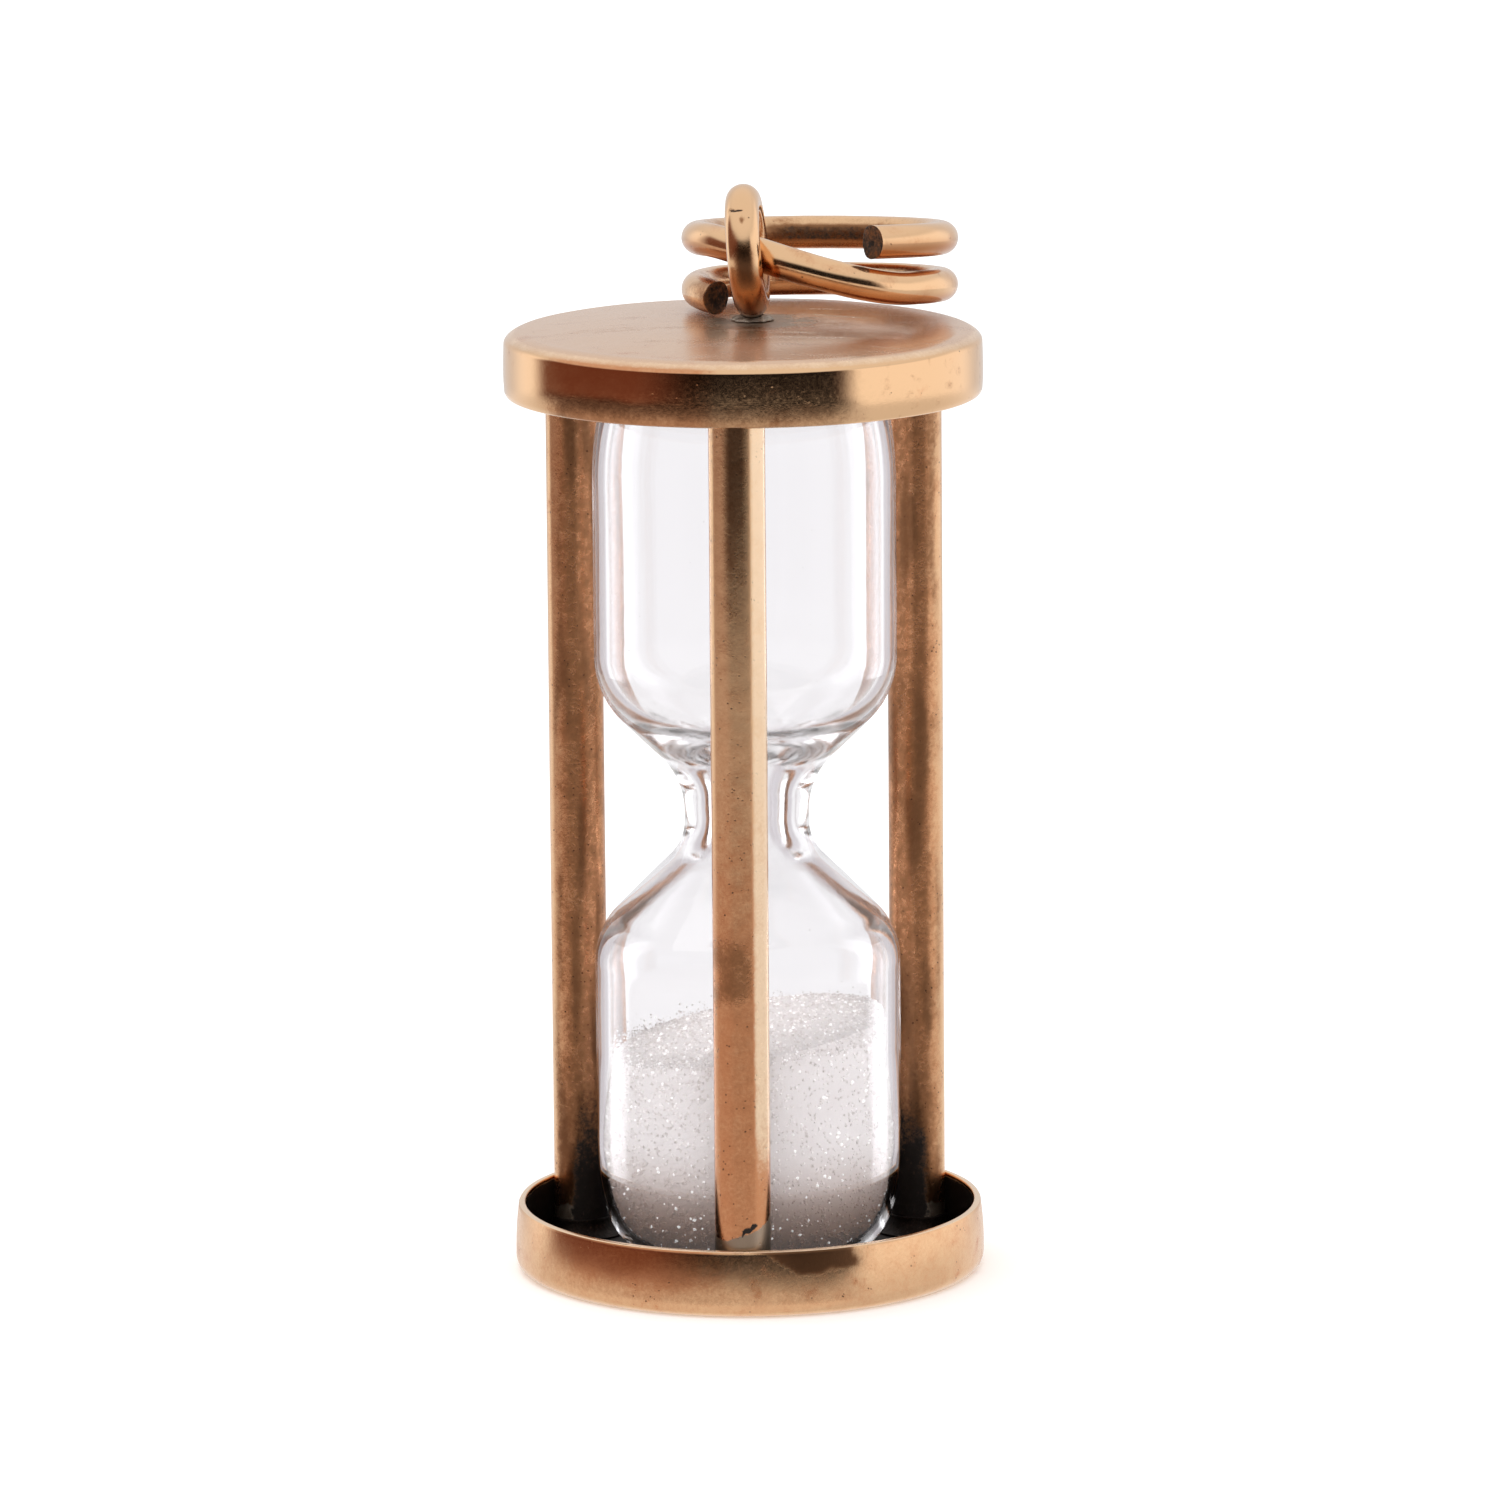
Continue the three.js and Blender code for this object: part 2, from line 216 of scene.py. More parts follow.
def sweep(path, upright, sides, radius):
    """Rows of a round wire along path, with its section's first direction kept near upright."""
    tangents = np.gradient(path, axis=0)
    tangents /= np.linalg.norm(tangents, axis=1)[:, None]
    first = upright - (tangents @ upright)[:, None] * tangents
    first /= np.linalg.norm(first, axis=1)[:, None]
    second = np.cross(tangents, first)
    turn = np.linspace(0, 2 * math.pi, sides, endpoint=False)
    rows = []
    for spot, one, two in zip(path, first, second):
        ring = np.outer(np.cos(turn), one) + np.outer(np.sin(turn), two)
        rows.append(spot + ring * radius)
    return rows, tangents


def ripple(points, size, seed):
    """Smooth noise from about -1 to 1 at each point, with bumps about size across."""
    shift = Vector((seed * 17.3, seed * 5.7, seed * 11.1))
    return np.array([noise.noise(Vector(p) / size + shift) for p in points])


def piece(name, surface, material, relief=None, masks=None, sharp=False):
    """A mesh object from a surface in millimetres.

    relief gives the heights along the normals for points, and masks holds floats for the vertices.
    """
    vertices, faces = surface
    mesh = bpy.data.meshes.new(name)
    mesh.from_pydata((vertices * MM).tolist(), [], faces)
    work = bmesh.new()
    work.from_mesh(mesh)
    bmesh.ops.recalc_face_normals(work, faces=work.faces)
    work.to_mesh(mesh)
    work.free()
    if relief is not None:
        normals = np.empty(len(vertices) * 3, np.float32)
        mesh.vertices.foreach_get("normal", normals)
        vertices = vertices + normals.reshape(-1, 3) * relief(vertices)[:, None]
        mesh.vertices.foreach_set("co", (vertices * MM).astype(np.float32).ravel())
    for key, values in (masks or {}).items():
        layer = mesh.attributes.new(key, "FLOAT", "POINT")
        layer.data.foreach_set("value", np.asarray(values, np.float32))
    if sharp:
        mesh.shade_flat()
    else:
        mesh.shade_smooth()
    mesh.materials.append(material)
    mesh.update()
    made = bpy.data.objects.new(name, mesh)
    bpy.context.scene.collection.objects.link(made)
    return made


def settle(made, node, body="frame"):
    """Puts a piece on its body, in the place of its CAD node, and hides that node."""
    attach(made, body)
    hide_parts(node)


# ---- Materials

CLEAN_GOLD = (0.89, 0.57, 0.33)
WARM_GOLD = (0.69, 0.31, 0.15)
HAZY_GOLD = (0.60, 0.42, 0.32)
# Strong orange gold that stands for gold in shade: painted shade on undersides and dark cores.
PAINTED_SHADE_GOLD = (0.45, 0.155, 0.045)
# Brown for patina, also used for painted dark reflections and painted shade.
BROWN_PATINA_AND_SHADE = (0.38, 0.18, 0.085)
# Near black: for pits, oxide and black stains, and also used as painted shade.
SOOT_AND_SHADE = (0.018, 0.011, 0.008)
# Bright rubbed gold for wear, also used for painted highlights on edges.
WORN_EDGE_AND_HIGHLIGHT = (0.97, 0.72, 0.50)
PILLAR_SOLDER = (0.44, 0.34, 0.26)
PALE_SOLDER = (0.60, 0.52, 0.43)
DARK_SOLDER = (0.26, 0.21, 0.165)
SOLDER_GLEAM = (0.86, 0.82, 0.76)
CLEAR_GLASS = (0.98, 0.974, 0.98)
MILKY_ROUGHNESS = 0.1  # of the glass at the neck
DARK_GRAIN = (0.66, 0.62, 0.605)
WHITE_GRAIN = (0.92, 0.895, 0.89)
PACKED_SAND = (0.74, 0.71, 0.705)
DUSTY_SAND = (0.62, 0.57, 0.56)
LOW_SAND = (0.33, 0.16, 0.08)  # the sand near the tray, which the dark metal shades
# Painted glints: a few grains are white, smoother and glowing.
PAINTED_GLINT = (0.98, 0.98, 0.98)
PAINTED_GLINT_SHARE = (0.93, 0.94)  # of the grains' random numbers: those above it glint
PALE_CEMENT = (0.66, 0.58, 0.44)
DARK_CEMENT = (0.48, 0.40, 0.29)

# Sizes of the metal's marks, in millimetres
CLOUD = 1.9
MOTTLE = 0.42
SPECK = 0.075
SCRATCH = 0.05
HAIR = 0.022
PIT_SPACING = 0.13


class Nodes:
    """A node tree, built in short calls that return sockets."""

    def __init__(self, tree):
        self.tree = tree

    def put(self, socket, value):
        if isinstance(value, bpy.types.NodeSocket):
            self.tree.links.new(value, socket)
        elif isinstance(value, tuple) and len(value) == 3 and socket.type == "RGBA":
            socket.default_value = (*value, 1)
        else:
            socket.default_value = value

    def fill(self, node, **values):
        """Sets or links a node's inputs; Base_Color stands for Base Color."""
        for key, value in values.items():
            self.put(node.inputs[key.replace("_", " ")], value)
        return node

    def make(self, kind, **values):
        return self.fill(self.tree.nodes.new("ShaderNode" + kind), **values)

    def step(self, value, low, high, start=0.0, end=1.0):
        """start below low, end above high, and a soft step between; low may be the larger one."""
        node = self.make("MapRange", Value=value, From_Min=low, From_Max=high, To_Min=start, To_Max=end)
        node.interpolation_type = "SMOOTHSTEP"
        return node.outputs["Result"]

    def math(self, kind, a, b=0.0, clamp=False):
        node = self.make("Math")
        node.operation = kind
        node.use_clamp = clamp
        self.put(node.inputs[0], a)
        self.put(node.inputs[1], b)
        return node.outputs[0]

    def plus(self, a, b, clamp=False):
        return self.math("ADD", a, b, clamp)

    def times(self, a, b):
        return self.math("MULTIPLY", a, b)

    def blend(self, factor, a, b):
        node = self.make("Mix")
        node.data_type = "RGBA"
        return self.fill(node, Factor=factor, A=a, B=b).outputs["Result"]


class Finish(Nodes):
    """A material's node tree. Coordinates are in millimetres."""

    def __init__(self, name):
        self.material = bpy.data.materials.new(name)
        self.material.use_nodes = True
        super().__init__(self.material.node_tree)
        self.shader = self.tree.nodes["Principled BSDF"]
        self.place = self.stretched(self.make("TexCoord").outputs["Object"], (1 / MM,) * 3)

    def finished(self, **values):
        """The material, with the shader's inputs set or linked."""
        self.fill(self.shader, **values)
        return self.material

    def stretched(self, vector, scale, shift=(0, 0, 0)):
        return self.make("Mapping", Vector=vector, Scale=scale, Location=shift).outputs["Vector"]

    def noise(self, size, detail=4.0, rough=0.55, stretch=(1, 1, 1), bend=0.0, shift=(0, 0, 0)):
        """Noise with features about size millimetres across, longer where stretch is large."""
        place = self.stretched(self.place, tuple(1 / (size * s) for s in stretch), shift)
        node = self.make("TexNoise", Vector=place, Scale=1.0, Detail=detail, Roughness=rough)
        return self.fill(node, Distortion=bend).outputs["Fac"]

    def cells(self, size):
        return self.make("TexVoronoi", Vector=self.place, Scale=1 / size).outputs["Distance"]

    def mask(self, name):
        """A mesh's mask; on a mesh that lacks it, it is 0."""
        node = self.make("Attribute")
        node.attribute_name = name
        return node.outputs["Fac"]

    def relief(self, height, depth, under=None):
        """Bump of depth millimetres, over the bump before it."""
        node = self.make("Bump", Distance=depth * MM, Height=height)
        if under is not None:
            self.fill(node, Normal=under)
        return node.outputs["Normal"]


def gold(name, roughness, tarnish, pitting, grain, grain_depth=0.0002):
    """Worn rose gold, whose stains, painted shade and painted highlights lie where the mesh's masks say.

    A smooth dark layer, partly dark patina and partly painted shade, a strong orange layer of painted shade,
    and haze blend in softly, and the others have ragged edges.
    grain stretches the scratches along an axis.
    """
    look = Finish(name)
    cloud = look.noise(CLOUD, 5, 0.6, bend=0.5)
    mottle = look.noise(MOTTLE, 6, 0.65)
    speck = look.noise(SPECK, 4, 0.7)
    scratch = look.noise(SCRATCH, 3, 0.6, stretch=grain, shift=(3, 5, 7))
    hair = look.noise(HAIR, 2, 0.5, stretch=grain, shift=(9, 1, 4))
    pit = look.step(look.cells(PIT_SPACING), 0.2, 0.09)
    pit = look.times(pit, look.step(mottle, 0.60 - pitting * 0.2, 0.72 - pitting * 0.2))

    stain = look.plus(look.times(cloud, 0.65), look.times(mottle, 0.35))
    stained = look.step(stain, 0.62 - tarnish * 0.25, 0.74 - tarnish * 0.2)
    ragged = look.plus(look.plus(look.times(speck, 0.5), look.times(mottle, 0.7)), -0.6)

    def stain_of(name, low, high, edge=ragged):
        return look.step(look.plus(look.mask(name), edge), low, high)

    warm = look.math("MAXIMUM", stained, stain_of("warm", 0.1, 0.9))
    haze = look.mask("haze")
    brown = stain_of("brown", 0.15, 0.85)
    solder = stain_of("solder", 0.4, 0.6)
    soot_and_painted_shade = stain_of("soot_and_painted_shade", 0.3, 0.62)
    wear_and_painted_highlight = stain_of("wear_and_painted_highlight", 0.35, 0.7, look.times(ragged, 0.6))
    colour = look.blend(warm, CLEAN_GOLD, WARM_GOLD)
    # Some layers paint light and shade into the colour: the strong orange layer and the smooth dark layer
    # paint shade, the brown and black layers also paint shade on dark cores and undersides, and the bright
    # edge layer also paints highlights besides wear.
    layers = (
        (look.times(haze, 0.75), HAZY_GOLD), (look.mask("painted_shade_deep"), PAINTED_SHADE_GOLD), (brown, BROWN_PATINA_AND_SHADE),
        (look.mask("patina_and_painted_shade"), SOOT_AND_SHADE), (look.times(pit, 0.8), SOOT_AND_SHADE), (solder, PILLAR_SOLDER),
        (soot_and_painted_shade, SOOT_AND_SHADE), (wear_and_painted_highlight, WORN_EDGE_AND_HIGHLIGHT),
    )
    for layer, tint in layers:
        colour = look.blend(layer, colour, tint)

    rough = look.step(stained, 0, 1, roughness, roughness + 0.07)
    rough = look.plus(rough, look.step(speck, 0.35, 0.75, -0.02, 0.05))
    for layer, amount in ((brown, 0.16), (haze, 0.15), (solder, 0.15)):
        rough = look.plus(rough, look.times(layer, amount))
    rough = look.plus(rough, look.times(soot_and_painted_shade, 0.3), clamp=True)
    bump = look.relief(scratch, grain_depth * 2)
    bump = look.relief(hair, grain_depth, bump)
    bump = look.relief(mottle, 0.0015, bump)
    bump = look.relief(look.times(pit, -1.0), 0.006, bump)
    bump = look.relief(look.times(speck, look.plus(brown, soot_and_painted_shade)), 0.004, bump)
    metallic = look.times(look.step(soot_and_painted_shade, 0, 1, 1.0, 0.35), look.step(haze, 0, 1, 1.0, 0.7))
    return look.finished(Base_Color=colour, Metallic=metallic, Roughness=rough, Normal=bump)


def solder_finish(name):
    look = Finish(name)
    mottle = look.noise(0.16, 5, 0.65)
    grit = look.noise(0.045, 4, 0.7, shift=(2, 6, 1))
    colour = look.blend(look.step(mottle, 0.36, 0.66), PALE_SOLDER, DARK_SOLDER)
    colour = look.blend(look.step(grit, 0.58, 0.68), colour, SOLDER_GLEAM)
    colour = look.blend(look.step(look.mask("soot_and_painted_shade"), 0.0, 0.8), colour, SOOT_AND_SHADE)
    rough = look.step(mottle, 0.3, 0.7, 0.38, 0.6)
    bump = look.relief(grit, 0.012, look.relief(mottle, 0.03))
    metallic = look.step(mottle, 0.3, 0.75, 0.95, 0.7)
    return look.finished(Base_Color=colour, Metallic=metallic, Roughness=rough, Normal=bump)


def glass_finish(name):
    look = Finish(name)
    waves = look.noise(0.9, 3, 0.5, stretch=(1, 1, 2.5))
    streaks = look.noise(0.25, 3, 0.6, stretch=(1, 1, 5))
    bump = look.relief(waves, 0.002)
    bump = look.relief(look.times(streaks, look.mask("drawn")), 0.002, bump)
    milky = look.times(look.mask("milky"), MILKY_ROUGHNESS)
    return look.finished(
        Base_Color=CLEAR_GLASS, Roughness=milky, IOR=1.5, Transmission_Weight=1.0, Normal=bump,
    )


def sand_finish(name):
    look = Finish(name)
    island = look.make("NewGeometry").outputs["Random Per Island"]
    drift = look.noise(0.6, 4, 0.6)
    grit = look.noise(0.05, 3, 0.7)
    loose = look.mask("grain")
    colour = look.blend(look.step(island, 0.1, 0.9), DARK_GRAIN, WHITE_GRAIN)
    colour = look.blend(loose, PACKED_SAND, colour)
    colour = look.blend(look.times(look.step(drift, 0.45, 0.7), 0.2), colour, DUSTY_SAND)
    colour = look.blend(look.times(look.mask("low"), 0.88), colour, LOW_SAND)
    # Painted glints: a few grains turn white, smoother and glowing.
    painted_glint = look.times(look.step(island, *PAINTED_GLINT_SHARE), loose)
    colour = look.blend(painted_glint, colour, PAINTED_GLINT)
    # All the sand glows a little, a painted light that lifts its shade, and the glints glow more.
    return look.finished(
        Base_Color=colour, Roughness=look.step(painted_glint, 0, 1, 0.5, 0.12), IOR=1.54,
        Emission_Color=(1.0, 1.0, 1.0), Emission_Strength=look.step(painted_glint, 0, 1, 0.05, 0.35),
        Normal=look.relief(grit, 0.003),
    )


def cement_finish(name):
    look = Finish(name)
    drift = look.noise(0.5, 4, 0.6)
    grit = look.noise(0.06, 4, 0.7)
    colour = look.blend(look.step(drift, 0.35, 0.7), PALE_CEMENT, DARK_CEMENT)
    rough = look.step(grit, 0.3, 0.7, 0.75, 0.95)
    return look.finished(Base_Color=colour, Roughness=rough, Normal=look.relief(grit, 0.02))


# ---- Cap and tray


def cup_wall(radius, depth, sizes):
    """The wall's outside radius at a depth below the face."""
    beyond = depth - sizes["bulge"]
    rate = np.where(beyond > 0, sizes["curve"], sizes["barrel"])
    return radius - 0.5 * rate * beyond**2


def cup_outline(radius, depth, sizes):
    """A cup's closed outline of (radius, depth) points, from the axis round the outside and back inside."""
    sheet, corner, lip = sizes["sheet"], sizes["corner"], sizes["lip"]
    bend = radius - sizes["round"]
    shoulder_radius = cup_wall(radius, corner, sizes)
    rim = cup_wall(radius, depth, sizes)
    inner = radius - sheet
    inner_lip = (inner - 0.02 + INNER_LIP, depth - INNER_LIP)

    def face(start):
        shares = np.linspace(0, 1, 60)
        return [(bend * s, start - sizes["rise"] * (1 - s * s)) for s in shares]

    wall = [(cup_wall(radius, d, sizes), d) for d in np.linspace(corner, depth - lip, 20)]
    return [
        *face(0),
        *arc((bend, corner), shoulder_radius - bend, corner, -90, 0, 16)[1:-1],
        *wall,
        *arc((rim - lip, depth - lip), lip, lip, 0, 90, 8)[1:],
        *arc(inner_lip, INNER_LIP, INNER_LIP, 90, 180, 6),
        *arc((bend, corner), inner - bend, corner - sheet, 0, -90, 8),
        *face(sheet)[::-1][1:],
    ]


def cup(name, node, sizes, opens, relief, masks, material):
    """A spun sheet cup in the place of its CAD node; opens is 1 when its rim is up, and else -1.

    relief and masks are given the cup's facts: its radius and depth, and for each point its distance
    from the face towards the rim, its distance from the axis, and 1 if it is on the inside.
    """
    _, radius, bottom, top = round_node(node)
    face = bottom if opens > 0 else top - sizes["rise"]
    depth = top - face if opens > 0 else face - bottom
    outline = dense(cup_outline(radius, depth, sizes), 0.12)
    surface = lathe([(r, face + opens * d) for r, d in outline], CUP_SIDES)
    points = surface[0]
    rim = np.argmax([d for r, d in outline])
    row_sizes = [1 if r < 1e-6 else CUP_SIDES for r, d in outline]
    inside = np.repeat(np.arange(len(outline)) > rim, row_sizes).astype(float)
    from_axis = np.hypot(points[:, 0], points[:, 1])
    facts = radius, depth, (points[:, 2] - face) * opens, from_axis, inside
    made = piece(name, surface, material, lambda p: relief(p, *facts), masks(points, *facts))
    settle(made, node)


def cap_relief(points, radius, depth, down, from_axis, inside):
    """Soft dents and waves in the sheet, weaker on the wall; the CAD's largest sizes are kept."""
    waves = ripple(points, 2.3, 1) * 0.014 + ripple(points, 0.9, 2) * 0.003
    side = smooth(from_axis, radius - 0.5, radius - 0.1)
    waves = waves * (1 - 0.55 * side)
    return np.where(inside > 0, 0, waves - DENT_DEPTH)


def cap_masks(points, radius, depth, down, from_axis, inside):
    """Haze, scuffs, solder and a brown halo round the eye on the top, the halo partly a painted reflection
    of the eye and ring, with painted shade to the eye's right; a pale top edge that is a painted highlight
    and a pale rim that is wear; and on the front reddish gold, partly a painted reflection of a brown wall,
    grime darkened by painted shade, and spots.
    """
    x, y = points[:, 0], points[:, 1]
    outside = 1 - inside
    top = smooth(down, 0.16, 0.04) * outside
    front = (y < 0) * outside * (1 - top)
    # The pale top edge is a painted highlight, and the pale rim is wear.
    edge = near(down, 0.1, 0.14, 0.02) * smooth(from_axis, radius - 0.6, radius - 0.2)
    rim = smooth(down, depth - 0.12, depth - 0.02)

    # The brown halo round the eye is partly a painted reflection of the eye and ring; the solder stain in it
    # is real.
    halo = smooth(np.hypot(x - 0.3, y + 0.1), 2.3, 0.5)
    streak = smooth(ripple(points * [0.45, 1.6, 1.0], 1.3, 5), 0.1, 0.6) * smooth(from_axis, 4.8, 3.6)
    scuff = smooth(ripple(points * [0.4, 1.2, 1.0], 0.4, 6), 0.1, 0.7)
    # A painted shade to the right of the eye, which browns the top and thins its haze.
    shade = smooth(np.hypot(x - 1.6, (y + 0.4) * 0.8), 3.0, 0.8)

    left_edge = smooth(ripple(points, 0.45, 8), -0.2, 0.4) * near(x, -3.9, 0.5, 0.1) * front
    # Reddish gold at the front's left is partly tarnish and partly a painted reflection of a brown wall.
    ruddy_and_painted_reflection = near(x, -2.3, 2.1, 1.2) * front
    grime = smooth(down + 0.06 * ripple(points, 0.6, 10), 0.75, 0.95) * near(x, -0.9, 3.6, 2.6) * front
    # Painted shade darkens the grime, and fades towards the rim.
    fading = smooth(down, 1.32, 1.0)
    spots = smooth(ripple(points, 0.22, 14), 0.0, 0.5) * smooth(x, 1.6, 3.2) * front
    brown = top * (0.4 * halo + 0.3 * streak + 0.1 * shade)
    return {
        "brown": brown + 0.25 * left_edge + 0.5 * grime + 0.3 * spots,
        # The inside is blackened as painted shade.
        "soot_and_painted_shade": 0.9 * inside * smooth(down, depth - 0.1, 0.9),
        "patina_and_painted_shade": grime * (0.22 + 0.4 * fading),
        "solder": 0.62 * top * halo,
        "wear_and_painted_highlight": 0.5 * edge + 0.45 * rim,
        "warm": np.clip(0.75 * ruddy_and_painted_reflection + 0.25 * top * scuff, 0, 1),
        "haze": top * (0.8 + 0.25 * scuff - 0.5 * shade * (1 - scuff)),
    }


def tray_relief(points, radius, depth, down, from_axis, inside):
    """A slightly uneven wall and rim, over a flat underside."""
    waves = ripple(points, 1.7, 3) * 0.012 + ripple(points, 0.6, 4) * 0.003
    return np.where(inside > 0, 0, waves - DENT_DEPTH) * smooth(down, 0.0, 0.25)


def tray_masks(points, radius, depth, down, from_axis, inside):
    """A dark patch under the rim at the front, reddish gold at its left, partly a painted reflection of a
    brown wall, a pale rim that is wear and painted highlight, and a blackened inside, partly oxide and
    partly painted shade.
    """
    x, y = points[:, 0], points[:, 1]
    front = (y < 0) * (1 - inside)
    ragged = 0.3 * ripple(points, 0.35, 9)
    patch_end = 1.42 - 0.5 * smooth(x, 0.1, 1.0)
    patch = smooth(np.abs(x - 0.85) + ragged, 1.5, 1.1) * front
    patch *= smooth(down + 0.4 * ragged - patch_end, -0.1, 0.1)
    # Reddish gold at the left is partly tarnish and partly a painted reflection of a brown wall.
    ruddy_and_painted_reflection = smooth(np.abs(x + 2.3) + ragged, 2.2, 0.8) * smooth(down, 0.2, 1.0) * front
    # The pale rim is wear and a painted highlight.
    rim = smooth(down, depth - 0.035, depth - 0.01)
    # The inside is blackened, partly oxide and partly painted shade.
    soot_and_shade_inside = inside * smooth(down, depth - 0.03, depth - 0.12)
    return {
        "brown": np.clip(0.9 * patch + 0.06 * ruddy_and_painted_reflection, 0, 1),
        "soot_and_painted_shade": np.clip(1.2 * soot_and_shade_inside + 0.16 * patch, 0, 1),
        "patina_and_painted_shade": (0.34 + 0.26 * smooth(x, 0.2, 1.1)) * patch,
        "wear_and_painted_highlight": 0.85 * rim,
        "warm": np.clip(0.35 + 0.6 * ruddy_and_painted_reflection, 0, 1),
    }


# ---- Pillars and their solder


def front_pillar_stains(points, sideways, height, facing):
    """A dark core in the upper half that is a painted dark reflection, a blotch below it, pale sides that
    are painted highlights, an upper left side browned as a painted reflection of a brown wall, and a slit in
    the solder.
    """
    inner = smooth(facing, 0.75, -0.35)
    blotch = near(height, 7.0, 1.1, 0.3) * smooth(ripple(points, 0.7, 7), -0.5, 0.2)
    # The upper left side is browned as a painted reflection of a brown wall.
    left_side = smooth(sideways, 0.1, -0.35) * smooth(height, 10, 15)
    slit = near(height - 0.5 * sideways, 1.56, 0.07, 0.03) * near(sideways, 0.14, 0.19, 0.12)
    # The core is a painted dark reflection of the room in front of the pillar.
    core = smooth(height, 12.0, 17.5) * near(sideways, -0.03, 0.34, 0.1)
    # Pale bands along both sides are painted highlights.
    right_edge = smooth(sideways, 0.13, 0.35) * smooth(height, 1.0, 4.0)
    return {
        "brown": np.clip(0.06 * inner + 0.65 * blotch + 0.22 * left_side + 0.6 * core, 0, 1),
        "warm": 0.25 + 0.55 * smooth(height, 14.0, 6.0),
        "soot_and_painted_shade": 1.2 * slit + 0.22 * core**2,
        "patina_and_painted_shade": 0.72 * core,
        "wear_and_painted_highlight": 0.66 * right_edge + 0.4 * smooth(sideways, -0.3, -0.5),
    }


def back_pillar_stains(points, height, facing):
    """Browner on the side that faces the glass, with long streaks, and black towards the foot."""
    inner = smooth(facing, 0.75, -0.35)
    foot_dark = smooth(height, 4.8, 0.6) * smooth(facing, 1.0, 0.3)
    speckle = smooth(ripple(points, 0.13, 13), -0.2, 0.5)
    streak = smooth(ripple(points * [1.0, 1.0, 0.12], 0.3, 14), 0.0, 0.45) * smooth(facing, 0.95, 0.2)
    return {
        "brown": np.clip(0.5 * inner + 0.16 * speckle + 0.3 * foot_dark + 0.2 * streak, 0, 1),
        "warm": 0.3 + 0.5 * inner,
        "soot_and_painted_shade": 0.8 * smooth(height, 5.0, 0.4) * smooth(facing, 0.35, -0.6),
        "patina_and_painted_shade": 0.3 * smooth(height, 6.0, 1.5) * smooth(facing, 0.5, -0.5) + 0.24 * streak,
    }


def pillar_masks(points, centre, foot):
    """The stains, and solder that climbs the foot; facing is 1 on the side away from the glass."""
    out = points[:, :2] - centre
    away = centre / np.linalg.norm(centre)
    facing = out @ away / np.linalg.norm(out, axis=1).clip(1e-6)
    sideways = points[:, 0] - centre[0]
    height = points[:, 2] - foot
    if centre[1] < 0:
        masks = front_pillar_stains(points, sideways, height, facing)
        climb = FRONT_SOLDER_CLIMB + 0.35 * sideways + 0.3 * (1 - np.abs(facing)) ** 2
    else:
        masks = back_pillar_stains(points, height, facing)
        climb = SOLDER_CLIMB + 0.1 * (1 - np.abs(facing)) ** 2
    masks["solder"] = smooth(height - climb, 0.16, -0.16)
    return masks


def pillar(side, material):
    node = f"pillar_{side}"
    centre, radius, bottom, top = round_node(node)
    end_radius = radius - PILLAR_CHAMFER
    foot = [(0, bottom), (end_radius, bottom), (radius, bottom + PILLAR_CHAMFER)]
    head = [(radius, top - PILLAR_CHAMFER), (end_radius, top), (0, top)]
    surface = lathe(dense([*foot, *head], 0.09), PILLAR_SIDES, centre)

    def relief(points):
        draw = ripple(points * [1, 1, 0.12], 0.8, 11 + SEEDS[side]) * 0.006
        return draw + ripple(points, 0.25, 12) * 0.0008 - 0.008

    masks = pillar_masks(surface[0], centre, bottom)
    settle(piece(f"{node}_rod", surface, material, relief, masks), node)


def pillar_solder(side, node, opens, material):
    """A lumpy concave fillet round a pillar's end, kept clear of the cup's wall."""
    _, _, bottom, top = round_node(node)
    centre, rod_radius, _, _ = round_node(f"pillar_{side}")
    inner = rod_radius + 0.004
    outer = inner + SOLDER_REACH
    floor = bottom if opens > 0 else top
    height = top - bottom
    fillet = arc((outer, height), SOLDER_REACH - 0.03, height - 0.03, 270, 180, 14)
    outline = [(inner, 0), (outer, 0), *fillet, (inner, height)]
    outline = dense([*outline, outline[0]], 0.04)[:-1]
    surface = lathe([(r, floor + opens * h) for r, h in outline], SOLDER_SIDES, centre, joined=True)
    points = surface[0]
    out = points[:, :2] - centre
    uneven = 1 + 0.35 * ripple(np.column_stack([out, 0 * points[:, 2]]), 0.5, SEEDS[side])
    reach = np.linalg.norm(out, axis=1)
    wanted = inner + np.clip((reach - inner) * uneven.clip(0.6, 1.0), 0, None)
    points[:, :2] = centre + out * (wanted / reach)[:, None]
    cup_radius = round_node("bottom_cap" if opens > 0 else "top_cap")[1]
    room = cup_radius - CAP["sheet"] - WALL_CLEARANCE
    from_axis = np.linalg.norm(points[:, :2], axis=1)
    points[:, :2] *= np.minimum(1, room / from_axis)[:, None]
    masks = {"soot_and_painted_shade": np.full(len(points), 1.0 if centre[1] > 0 else 0.35)}
    settle(piece(f"{node}_fillet", surface, material, None, masks), node)


# ---- Glass vial, seal, sand and cement


def shoulder(wall, neck, start, bend, waist, slope, side):
    """A shoulder's outline from the bulb's wall, through a bend, a cone and a waist, to the neck."""
    angle = math.radians(slope)
    cone = (wall - neck - (bend + waist) * (1 - math.cos(angle))) / math.sin(angle)
    rise = (bend + waist) * math.sin(angle) + cone * math.cos(angle)
    convex = arc((wall - bend, 0), bend, bend, 0, slope, 24)
    concave = arc((neck + waist, rise), waist, waist, 180 + slope, 180, 24)
    return [(r, start + side * h) for r, h in [*convex, *concave]]


def bulb_end(wall, end, disc_height, up):
    """A bulb's far end, from its flat disc round the edge to its wall; up is 1 for a top end."""
    width, height = end
    return arc((wall - width, disc_height - up * height), width, height, up * 90, 0, 28)


def thinned(outline):
    """An inner outline of (radius, height) points, widened towards the lower bulb's floor."""
    return [(r * (1 + BASE_THINNING * float(smooth(h, *THINNING_HEIGHTS))), h) for r, h in outline]


